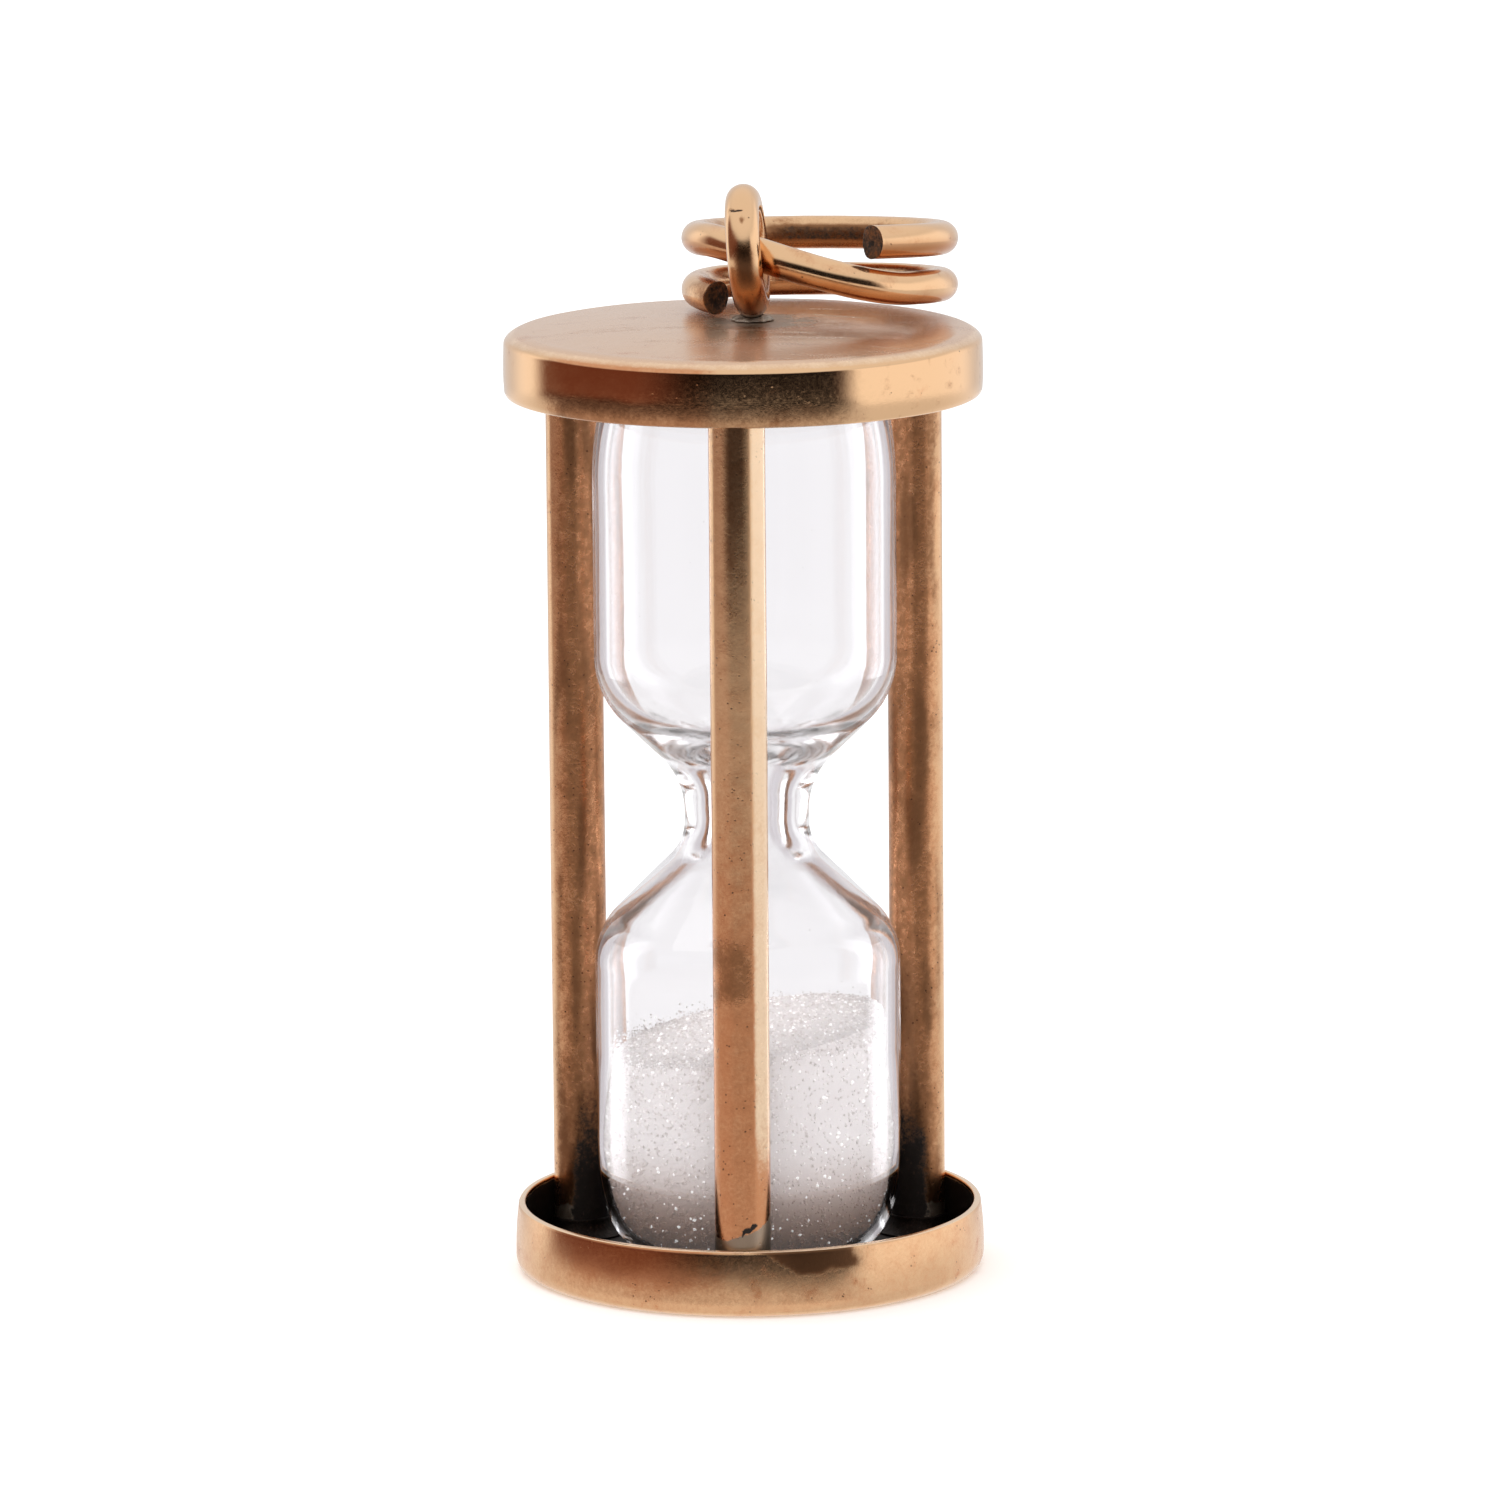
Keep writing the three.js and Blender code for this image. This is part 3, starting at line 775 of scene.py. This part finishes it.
def cavity(bottom, top, shrink=0.0):
    """The vial's inner outline from the floor's edge up to the roof's edge, drawn in by shrink."""
    floor, roof = bottom + VIAL_BASE_WALL, top - VIAL_CROWN_WALL
    outline = [
        *bulb_end(LOWER_INSIDE["wall"], LOWER_END_INSIDE, floor, -1),
        *shoulder(**LOWER_INSIDE),
        *shoulder(**UPPER_INSIDE)[::-1],
        *bulb_end(UPPER_INSIDE["wall"], UPPER_END_INSIDE, roof, 1)[::-1],
    ]
    return [(r - shrink, h) for r, h in thinned(dense(outline, 0.2))]


def vial(material):
    _, _, bottom, top = round_node("glass_vial")
    outside = [
        (0, bottom),
        *bulb_end(LOWER_OUTSIDE["wall"], LOWER_END, bottom, -1),
        *shoulder(**LOWER_OUTSIDE),
        *shoulder(**UPPER_OUTSIDE)[::-1],
        *bulb_end(UPPER_OUTSIDE["wall"], UPPER_END, top, 1)[::-1],
        (FILL_HOLE_RADIUS, top),
    ]
    hole = (FILL_HOLE_RADIUS, top - VIAL_CROWN_WALL)
    inside = [hole, *cavity(bottom, top)[::-1], (0, bottom + VIAL_BASE_WALL)]
    surface = lathe(dense([*outside, *inside], 0.11), VIAL_SIDES)
    middle = (LOWER_OUTSIDE["start"] + UPPER_OUTSIDE["start"]) / 2

    def drawn(points):
        """1 at the neck, where the glass was softened and drawn, and 0 at the bulbs' walls."""
        return near(points[:, 2], middle, 3.3, 1.2)

    def relief(points):
        lumps = ripple(points, 1.1, 21) * 0.006 + ripple(points * [1, 1, 0.4], 0.4, 22) * 0.0008
        return lumps * drawn(points) + ripple(points, 2.5, 23) * 0.003 - 0.003

    milky = near(surface[0][:, 2], middle + 0.2, 3.0, 1.5)
    masks = {"drawn": drawn(surface[0]), "milky": milky}
    settle(piece("vial_glass_body", surface, material, relief, masks), "glass_vial")


def filler_seal(material):
    _, radius, bottom, top = round_node("filler_seal")
    bend = 0.05
    outline = [(0, bottom), *arc((radius - bend, bottom + bend), bend, bend, -90, 0, 4)]
    outline += [*arc((radius - bend, top - bend), bend, bend, 0, 90, 4), (0, top)]
    surface = lathe(dense(outline, 0.05), 48)
    masks = {"drawn": np.ones(len(surface[0]))}
    settle(piece("filler_seal_plug", surface, material, None, masks), "filler_seal")


def cement_bed(node, material):
    _, radius, bottom, top = round_node(node)
    half = (top - bottom) / 2
    outline = [(0, bottom), *arc((radius - half, bottom + half), half, half, -90, 90, 10), (0, top)]
    surface = lathe(dense(outline, 0.08), 120)

    def relief(points):
        outer_part = smooth(np.hypot(points[:, 0], points[:, 1]), 1.2, radius)
        return (ripple(points, 0.5, 31) * 0.01 - 0.012) * outer_part

    settle(piece(f"{node}_pad", surface, material, relief), node)


def heap_height(x, y):
    """The sand's free surface: a tilted rim with a low cone whose peak stands off the axis."""
    away = np.hypot(x - SAND_PEAK_X, y) / (LOWER_INSIDE["wall"] + SAND_PEAK_X)
    return SAND_RIM + SAND_TILT * x + SAND_RISE * (1 - np.minimum(away, 1))


def grains(centres, radii, rng):
    """Closed eight-sided grains at the given places, each turned and stretched its own way."""
    corners = np.array([(1, 0, 0), (-1, 0, 0), (0, 1, 0), (0, -1, 0), (0, 0, 1), (0, 0, -1)], float)
    sides = [(0, 2, 4), (2, 1, 4), (1, 3, 4), (3, 0, 4), (2, 0, 5), (1, 2, 5), (3, 1, 5), (0, 3, 5)]
    count = len(centres)
    axes = np.linalg.qr(rng.normal(size=(count, 3, 3)))[0]
    stretch = rng.uniform(0.65, 1.0, (count, 1, 3))
    points = np.einsum("nij,nkj->nki", axes, corners[None] * stretch)
    points = points * radii[:, None, None] + centres[:, None]
    faces = [[6 * n + c for c in side] for n in range(count) for side in sides]
    return points.reshape(-1, 3), faces


def heap_body(floor):
    """The heap as one closed bumpy surface, drawn in from the glass by the grains' clearance."""
    wall = LOWER_INSIDE["wall"] - SAND_CLEARANCE
    side = [(0, floor), *bulb_end(wall, LOWER_END_INSIDE, floor, -1), (wall, SAND_RIM)]
    top = [(r, SAND_RIM) for r in np.linspace(wall, 0, 60)[1:]]
    points, faces = lathe([*thinned(dense(side, 0.06)), *top], 180)
    on_top = points[:, 2] > SAND_RIM - 1e-6
    heap = heap_height(points[:, 0], points[:, 1]) - 0.03
    share = smooth(points[:, 2], floor + LOWER_END_INSIDE[1], SAND_RIM)
    points[:, 2] = np.where(on_top, heap, points[:, 2] + share * (heap - SAND_RIM))
    points += ripple(points, 0.11, 41)[:, None] * 0.018
    return points, faces


def standing_grains(points, faces, rng):
    """Grains scattered evenly over the heap's surface."""
    picked = rng.integers(0, len(faces), GRAIN_COUNT * 2)
    corners = np.array([points[faces[i][:3]] for i in picked])
    sides = corners[:, 1] - corners[:, 0], corners[:, 2] - corners[:, 0]
    areas = np.linalg.norm(np.cross(*sides), axis=1)
    kept = rng.uniform(size=len(picked)) < areas / np.quantile(areas, 0.7)
    weights = rng.dirichlet((1, 1, 1), len(picked))
    centres = np.einsum("nk,nkj->nj", weights, corners)[kept][:GRAIN_COUNT]
    return grains(centres, rng.uniform(*GRAIN_RADII, len(centres)), rng)


def clinging_grains(bottom, top, rng):
    """Dust all over the inside of the glass, and a fringe of grains on it along the heap's edge."""
    glass = np.array(cavity(bottom, top, 0.03))
    turn = rng.uniform(0, 2 * math.pi, DUST_COUNT + FRINGE_COUNT)
    wall = LOWER_INSIDE["wall"] - SAND_CLEARANCE
    edge = SAND_RIM + SAND_TILT * wall * np.cos(turn[DUST_COUNT:])
    dust_height = rng.uniform(*DUST_HEIGHTS, DUST_COUNT)
    height = np.concatenate([dust_height, edge + np.abs(rng.normal(0, FRINGE_SPREAD, FRINGE_COUNT))])
    reach = np.interp(height, glass[:, 1], glass[:, 0])
    places = np.column_stack([reach * np.cos(turn), reach * np.sin(turn), height])
    dust_radii = rng.uniform(*DUST_RADII, DUST_COUNT)
    radii = np.concatenate([dust_radii, rng.uniform(*GRAIN_RADII, FRINGE_COUNT) * 0.7])
    return grains(places, radii, rng)


def sand(material):
    """The settled heap: a bumpy body, the grains that stand on it, and grains on the glass above."""
    rng = np.random.default_rng(7)
    _, _, bottom, top = round_node("glass_vial")
    body = heap_body(bottom + VIAL_BASE_WALL + SAND_CLEARANCE)
    points, faces = body[0], [*body[1]]
    for more_points, more_faces in (standing_grains(*body, rng), clinging_grains(bottom, top, rng)):
        faces += [[c + len(points) for c in face] for face in more_faces]
        points = np.vstack([points, more_points])
    grain = np.ones(len(points))
    grain[:len(body[0])] = 0
    masks = {"low": smooth(points[:, 2], 3.3, 0.9), "grain": grain}
    settle(piece("sand_heap", (points, faces), material, None, masks, sharp=True), "sand")


# ---- Eye and split ring


def eye_frame():
    """The eye's centre in millimetres and its axis, as the ring's hinge has them."""
    hinge = frame["record"]["behaviour"]["joints"][0]
    return np.array(hinge["pos_m"]) / MM, np.array(hinge["axis"]) / np.linalg.norm(hinge["axis"])


def eye_loop(material):
    """The eye's wire, with a slot and a dimple on its crown, a dark core low on its front that is a painted
    dark reflection, painted shade on its lower half, and a pale top that is partly wear and partly painted
    highlight.
    """
    centre, axis = eye_frame()
    across = np.cross(axis, [0, 0, 1])
    across /= np.linalg.norm(across)
    up = np.cross(across, axis)
    turn = np.linspace(0, 2 * math.pi, EYE_STEPS + 1)
    path = centre + EYE_RADIUS * (np.outer(np.cos(turn), across) + np.outer(np.sin(turn), up))
    out = (path[:-1] - centre) / EYE_RADIUS
    tube = np.linspace(0, 2 * math.pi, WIRE_SIDES, endpoint=False)
    rows = []
    for spot, away in zip(path[:-1], out):
        rows.append(spot + EYE_WIRE * (np.outer(np.cos(tube), away) + np.outer(np.sin(tube), axis)))
    surface = skin(rows, joined=True)
    points = surface[0]
    local = points - centre
    front, sideways, height = local[:, 1] < -0.6, local @ axis, local[:, 2]
    slot_line = np.exp(-((height - 0.98 - 0.1 * sideways) / 0.022) ** 2) * smooth(sideways, 0.12, 0.02)
    slot_line *= smooth(sideways, -0.27, -0.2) * front
    dimple = np.exp(-(((sideways - 0.03) / 0.05) ** 2 + ((height - 0.80) / 0.075) ** 2)) * front
    inner = smooth(np.hypot(local @ across, local @ up), EYE_RADIUS - 0.05, EYE_RADIUS - 0.3)
    # The lower half is darkened and turned a strong orange as painted shade.
    low = smooth(height, -0.05, -0.5)
    # The core is a painted dark reflection of the room in front.
    core = near(height, -0.15, 0.62, 0.25) * near(sideways, 0.02, 0.28, 0.06) * front

    def relief(p):
        waves = ripple(p, 0.7, 51) * 0.006 + ripple(p, 0.25, 52) * 0.002 - 0.006
        return waves - 0.03 * slot_line - 0.015 * dimple

    marks = 0.9 * slot_line + 0.85 * dimple
    masks = {
        "brown": np.clip(0.35 * inner + marks + 0.3 * low + 0.95 * core, 0, 1),
        "soot_and_painted_shade": np.clip(0.8 * slot_line + 0.25 * low * inner + 0.1 * low + 0.2 * core, 0, 1),
        "patina_and_painted_shade": 0.62 * core,
        "painted_shade_deep": 0.9 * np.maximum(low, core),
        # The pale top is partly wear and partly painted highlight.
        "wear_and_painted_highlight": 0.35 * smooth(height, 0.6, 1.2) * smooth(np.abs(sideways), 0.4, 0.1),
        "solder": smooth(height, -1.22, -1.34),
    }
    settle(piece("eye_loop_wire", surface, material, relief, masks), "eye_loop")


def eye_solder(material):
    """A rough pool of solder, ragged at its edge, with the room of the eye's foot left free."""
    centre, _, bottom, _ = round_node("eye_solder")
    eye, axis = eye_frame()
    shares = np.linspace(1, 0, 26)
    rises = 0.006 + EYE_SOLDER_HEIGHT * (1 - shares) ** 0.7
    dome = [(EYE_SOLDER_RADIUS * r, bottom + h) for r, h in zip(shares, rises)]
    underside = [(EYE_SOLDER_RADIUS * r, bottom) for r in (0, 0.5, 1)]
    surface = lathe([*underside, *dome], 140, centre)
    points = surface[0]
    out = points[:, :2] - centre
    heading = np.arctan2(out[:, 1], out[:, 0])
    ring = np.column_stack([np.cos(heading), np.sin(heading), 0 * heading])
    points[:, :2] = centre + out * (0.86 + 0.14 * ripple(ring, 0.45, 61)).clip(0.6, 1.0)[:, None]
    top = points[:, 2] > bottom + 0.004
    lump = (1 + 0.35 * ripple(points, 0.16, 62)).clip(0.5, 1.1)
    points[:, 2] = np.where(top, bottom + (points[:, 2] - bottom) * lump, points[:, 2])
    local = points - eye
    in_plane = local - np.outer(local @ axis, axis)
    nearest = eye + in_plane / np.linalg.norm(in_plane, axis=1)[:, None] * EYE_RADIUS
    gap = points - nearest
    need = EYE_WIRE + 0.004
    sunk = top & (np.linalg.norm(gap, axis=1) < need)
    lowered = nearest[:, 2] - np.sqrt(np.maximum(need**2 - (gap[:, 0] ** 2 + gap[:, 1] ** 2), 0))
    points[:, 2] = np.where(sunk, np.maximum(lowered, bottom + 0.004), points[:, 2])
    masks = {"soot_and_painted_shade": smooth(ripple(points, 0.2, 63), 0.1, 0.6) * 0.35}
    settle(piece("eye_solder_fillet", surface, material, None, masks), "eye_solder")


def ring_height(angle):
    """Height of the ring's wire above the plane of the eye's centre, by angle."""
    drop = smooth(angle, *RING_JOG) * RING_PITCH
    at_eye = smooth(RING_AT_EYE, *RING_JOG) * RING_PITCH
    tail = np.maximum(0, (angle - RING_TAIL_START) / (RING_END - RING_TAIL_START))
    return at_eye - drop - RING_TAIL_DROP * tail**2


def split_ring(material):
    """Nearly two turns of wire through the eye, with rough cut ends."""
    centre, axis = eye_frame()
    angle = np.linspace(RING_START, RING_END, RING_STEPS)
    here, at_eye = np.radians(angle), math.radians(RING_AT_EYE)
    flat = np.column_stack([
        RING_RADIUS * (np.sin(here) - math.sin(at_eye)),
        RING_RADIUS * (math.cos(at_eye) - np.cos(here)),
        ring_height(angle),
    ])
    tilt = np.array(Matrix.Rotation(math.radians(-RING_TILT), 3, Vector(axis)))
    path = flat @ tilt.T + centre
    upright = tilt @ [0, 0, 1]
    rows, tangents = sweep(path, upright, WIRE_SIDES, RING_WIRE)
    middle = tilt @ [-RING_RADIUS * math.sin(at_eye), RING_RADIUS * math.cos(at_eye), 0] + centre

    # Each end is cut off a little skew, with a rounded burr and a chipped face.
    caps = []
    for row, end, lean in zip((0, -1), (-1, 1), RING_LEANS):
        tangent = tangents[row] * end
        facing = tangent + lean * np.cross(tangent, upright)
        facing /= np.linalg.norm(facing)
        for i in range(12):
            at = i if row == 0 else -1 - i
            beyond = (rows[at] - (path[row] - BURR * tangent)) @ facing
            rows[at] = rows[at] - np.outer(np.maximum(beyond, 0) / (tangent @ facing), tangent)
        spot = rows[row].mean(axis=0)
        inner = [spot + (rows[row] - spot) * share + tangent * push for share, push in END_FACE]
        caps.append([*inner, (spot + tangent * END_FACE_MIDDLE)[None]])
    surface = skin([*caps[0][::-1], *rows, *caps[1]])
    points = surface[0]
    local = (points - middle) @ tilt
    out = np.hypot(local[:, 0], local[:, 1]) - RING_RADIUS
    around = np.degrees(np.arctan2(local[:, 0], -local[:, 1])) % 360
    upper = local[:, 2] > -0.35
    face_count = 1 + len(END_FACE) * WIRE_SIDES
    # The cut faces are dark, oxide with painted shadow.
    face = np.zeros(len(points))
    face[:face_count + WIRE_SIDES] = 1
    face[-face_count - WIRE_SIDES:] = 1
    inward = smooth(out, 0.08, -0.28)
    blank = np.zeros(face_count)
    section_up = (np.vstack(rows) - np.repeat(path, WIRE_SIDES, axis=0)) @ upright / RING_WIRE
    section_up = np.concatenate([blank, section_up, blank])
    # The wire's underside is darkened and turned a strong orange as painted shade.
    under = np.where(upper, smooth(-section_up, -0.3, 0.5), smooth(-section_up, 0.1, 0.8))
    grime = smooth(ripple(points * [0.5, 0.5, 1.0], 0.35, 65), -0.1, 0.5)
    scorched = inward * near(around, 150, 75, 45) * upper * near(section_up, 0.02, 0.62, 0.3)
    near_end = near(around, 304, 34, 6) * (~upper)

    def relief(p):
        chips = ripple(p, 0.12, 63) * 0.02 * face + ripple(p, 0.1, 64) * 0.012 * scorched
        return ripple(p, 0.8, 61) * 0.005 + ripple(p, 0.3, 62) * 0.002 - 0.005 + chips - 0.008 * scorched

    # Stains on the inner side and grime, with painted shade on the underside.
    stains = 0.3 * inward + 0.25 * under + 0.15 * grime
    masks = {
        "brown": np.clip(0.9 * scorched + 0.9 * face + 0.45 * near_end + stains, 0, 1),
        "soot_and_painted_shade": np.clip(0.42 * scorched + 0.5 * face + 0.08 * under, 0, 1),
        "warm": 0.35 * grime,
        "painted_shade_deep": 0.85 * under,
        "patina_and_painted_shade": 0.35 * scorched,
    }
    settle(piece("split_ring_wire", surface, material, relief, masks), "split_ring", "ring")


# ---- The object

cap_gold = gold("cap_rose_gold", 0.11, 0.2, 0.1, grain=(6, 1, 1))
tray_gold = gold("tray_rose_gold", 0.22, 0.3, 0.3, grain=(1, 1, 3), grain_depth=0.0005)
rod_gold = gold("pillar_rose_gold", 0.2, 0.25, 0.6, grain=(1, 1, 14), grain_depth=0.0004)
wire_gold = gold("wire_rose_gold", 0.15, 0.15, 0.3, grain=(2, 2, 2))
solder_metal = solder_finish("silver_solder")
clear_glass = glass_finish("flame_worked_glass")

cup("top_cap_shell", "top_cap", CAP, -1, cap_relief, cap_masks, cap_gold)
cup("bottom_cap_shell", "bottom_cap", TRAY, 1, tray_relief, tray_masks, tray_gold)
for side in ("front", "right", "left"):
    pillar(side, rod_gold)
    pillar_solder(side, f"foot_solder_{side}", 1, solder_metal)
    pillar_solder(side, f"head_solder_{side}", -1, solder_metal)
vial(clear_glass)
filler_seal(clear_glass)
sand(sand_finish("white_sand"))
cement = cement_finish("cream_cement")
cement_bed("lower_cement_bed", cement)
cement_bed("upper_cement_bed", cement)
eye_loop(wire_gold)
eye_solder(solder_metal)
split_ring(wire_gold)

# ---- Studio

CAMERA_DISTANCE = 200.0
CAMERA_ELEVATION = 11.02
CAMERA_LENS = 229.0
CAMERA_ROLL = -0.45
AIM = (0.08, 0.0, 11.03)
ORBIT_HEIGHT = 10.0  # the camera's distance and elevation are taken from this height on the axis
FLOOR_REACH = 3000.0
SQUARE = ((-1, -1), (1, -1), (1, 1), (-1, 1))

# The studio's zones, in degrees: azimuth from the camera's side, + to the right, and elevation. Each
# has two soft edges, given as the angle where nothing shows and the angle where all of it does.
DARK_ZONE = ((-55.0, -22.0), (42.0, 59.0))
BROWN_ZONE = ((-124.0, -108.0), (42.0, 59.0))
WALL_LEVEL = ((-11.6, -9.2), (17.0, 32.0))
EDGE_ZONE = ((138.0, 144.0), (160.0, 168.0))
BOX_ZONE = ((106.0, 112.0), (128.0, 134.0))
BOX_LEVEL = ((-25.0, -18.0), (35.0, 50.0))
WALL_FADE = (128.0, 150.0)
TABLE_FADE = (100.0, 150.0)
CEILING_FADE = (15.0, 45.0)
SOFT_FADE = (-5.0, 60.0)

SIDE_WALL = (1.08, 1.07, 1.06)
BACK_WALL = (0.74, 0.74, 0.75)
BROWN_WALL = (0.19, 0.085, 0.06)
DARK_ROOM = (0.016, 0.013, 0.012)
FRONT_TABLE = (0.74, 0.73, 0.72)
BACK_TABLE = (0.92, 0.92, 0.92)
BROWN_TABLE = (0.80, 0.74, 0.70)
LOW_CEILING = (0.74, 0.74, 0.74)
HIGH_CEILING = (0.86, 0.86, 0.86)

# Glass sees the studio lifted towards white, with grey edges and two bright boxes, and light that
# the sand scatters comes from a soft sky.
LIFT = 0.85
LIFTED = (0.99, 0.98, 0.995)
EDGE_SHARE = 0.85
GREY_EDGE = (0.62, 0.58, 0.61)
BOX_LIGHT = (2.5, 2.5, 2.6)
SOFT_LOW = (0.95, 0.95, 0.96)
SOFT_HIGH = (1.25, 1.25, 1.25)
SOFT_IN_GLASS = (2.1, 2.06, 2.06)


def camera():
    rise = math.radians(CAMERA_ELEVATION)
    data = bpy.data.cameras.new("camera")
    data.lens = CAMERA_LENS
    data.clip_start, data.clip_end = 0.01, 50
    made = bpy.data.objects.new("camera", data)
    made.location = Vector((0, -math.cos(rise), math.sin(rise))) * CAMERA_DISTANCE * MM
    made.location.z += ORBIT_HEIGHT * MM
    facing = (Vector(AIM) * MM - made.location).to_track_quat("-Z", "Y")
    made.rotation_mode = "QUATERNION"
    made.rotation_quaternion = facing @ Matrix.Rotation(math.radians(CAMERA_ROLL), 3, "Z").to_quaternion()
    bpy.context.scene.collection.objects.link(made)
    bpy.context.scene.camera = made


def floor():
    """A wide white floor. Metal and glass see the studio in its place, as over a light table."""
    white = Finish("white_floor").finished(
        Base_Color=(0.95, 0.95, 0.95), Roughness=0.9, Emission_Color=(1.0, 1.0, 1.0), Emission_Strength=0.12,
    )
    height = cad_box[0].z / MM - 0.002
    corners = np.array([(x * FLOOR_REACH, y * FLOOR_REACH, height) for x, y in SQUARE])
    made = piece("floor", (corners, [[0, 1, 2, 3]]), white)
    made.visible_glossy = False
    made.visible_transmission = False


def zone(sky, angle, fade_in, fade_out):
    """1 between two soft edges, each given as the angles where it starts and where it is full."""
    return sky.times(sky.step(angle, *fade_in), sky.step(angle, fade_out[1], fade_out[0]))


def studio():
    """A round white studio with a dark room in front and a warm brown wall at its left."""
    world = bpy.data.worlds.new("studio")
    bpy.context.scene.world = world
    world.use_nodes = True
    world.cycles.sampling_method = "NONE"
    world.node_tree.nodes.clear()
    sky = Nodes(world.node_tree)

    x, y, z = sky.make("SeparateXYZ", Vector=sky.make("TexCoord").outputs["Generated"]).outputs
    turn = sky.times(sky.math("ARCTAN2", x, sky.times(y, -1.0)), 180 / math.pi)
    rise = sky.times(sky.math("ARCSINE", z), 180 / math.pi)
    sideways = sky.math("ABSOLUTE", turn)
    brown = zone(sky, turn, *BROWN_ZONE)

    wall = sky.blend(sky.step(sideways, *WALL_FADE), SIDE_WALL, BACK_WALL)
    wall = sky.blend(brown, wall, BROWN_WALL)
    wall = sky.blend(zone(sky, turn, *DARK_ZONE), wall, DARK_ROOM)
    table = sky.blend(sky.step(sideways, *TABLE_FADE), FRONT_TABLE, BACK_TABLE)
    table = sky.blend(brown, table, BROWN_TABLE)
    ceiling = sky.blend(sky.step(rise, *CEILING_FADE), LOW_CEILING, HIGH_CEILING)
    painted = sky.blend(sky.math("GREATER_THAN", rise, 0.0), table, ceiling)
    painted = sky.blend(zone(sky, rise, *WALL_LEVEL), painted, wall)

    in_glass = sky.blend(LIFT, painted, LIFTED)
    in_glass = sky.blend(sky.times(zone(sky, sideways, *EDGE_ZONE), EDGE_SHARE), in_glass, GREY_EDGE)
    boxes = sky.times(zone(sky, sideways, *BOX_ZONE), zone(sky, rise, *BOX_LEVEL))
    in_glass = sky.blend(boxes, in_glass, BOX_LIGHT)

    path = sky.make("LightPath").outputs
    seen_in_glass = sky.math("MAXIMUM", path["Is Singular Ray"], path["Is Transmission Ray"])
    soft = sky.blend(sky.step(rise, *SOFT_FADE), SOFT_LOW, SOFT_HIGH)
    soft = sky.blend(path["Is Transmission Ray"], soft, SOFT_IN_GLASS)
    scattered = sky.math("GREATER_THAN", path["Diffuse Depth"], 0.5)
    shown = sky.blend(scattered, sky.blend(seen_in_glass, painted, in_glass), soft)
    shown = sky.blend(path["Is Camera Ray"], shown, (1.0, 1.0, 1.0))
    background = sky.make("Background", Color=shown)
    sky.make("OutputWorld", Surface=background.outputs[0])


def softbox(name, place, size, strength):
    """A square area light that faces the charm's middle; at strength 1 its surface is white."""
    data = bpy.data.lights.new(name, "AREA")
    data.size = size * MM
    data.energy = strength * math.pi * (size * MM) ** 2
    made = bpy.data.objects.new(name, data)
    made.location = Vector(place) * MM
    made.rotation_mode = "QUATERNION"
    made.rotation_quaternion = (Vector(AIM) * MM - made.location).to_track_quat("-Z", "Y")
    made.visible_glossy = False
    bpy.context.scene.collection.objects.link(made)


def light_paths(bounces):
    """Lets light leave the thick glass of the neck, where it is reflected inside many times."""
    cycles = bpy.context.scene.cycles
    cycles.max_bounces = bounces
    cycles.transmission_bounces = bounces
    cycles.glossy_bounces = bounces


bpy.context.scene.view_settings.view_transform = "Standard"
light_paths(40)
camera()
floor()
studio()
softbox("overhead_softbox", (-60, 40, 260), 180, 1.2)
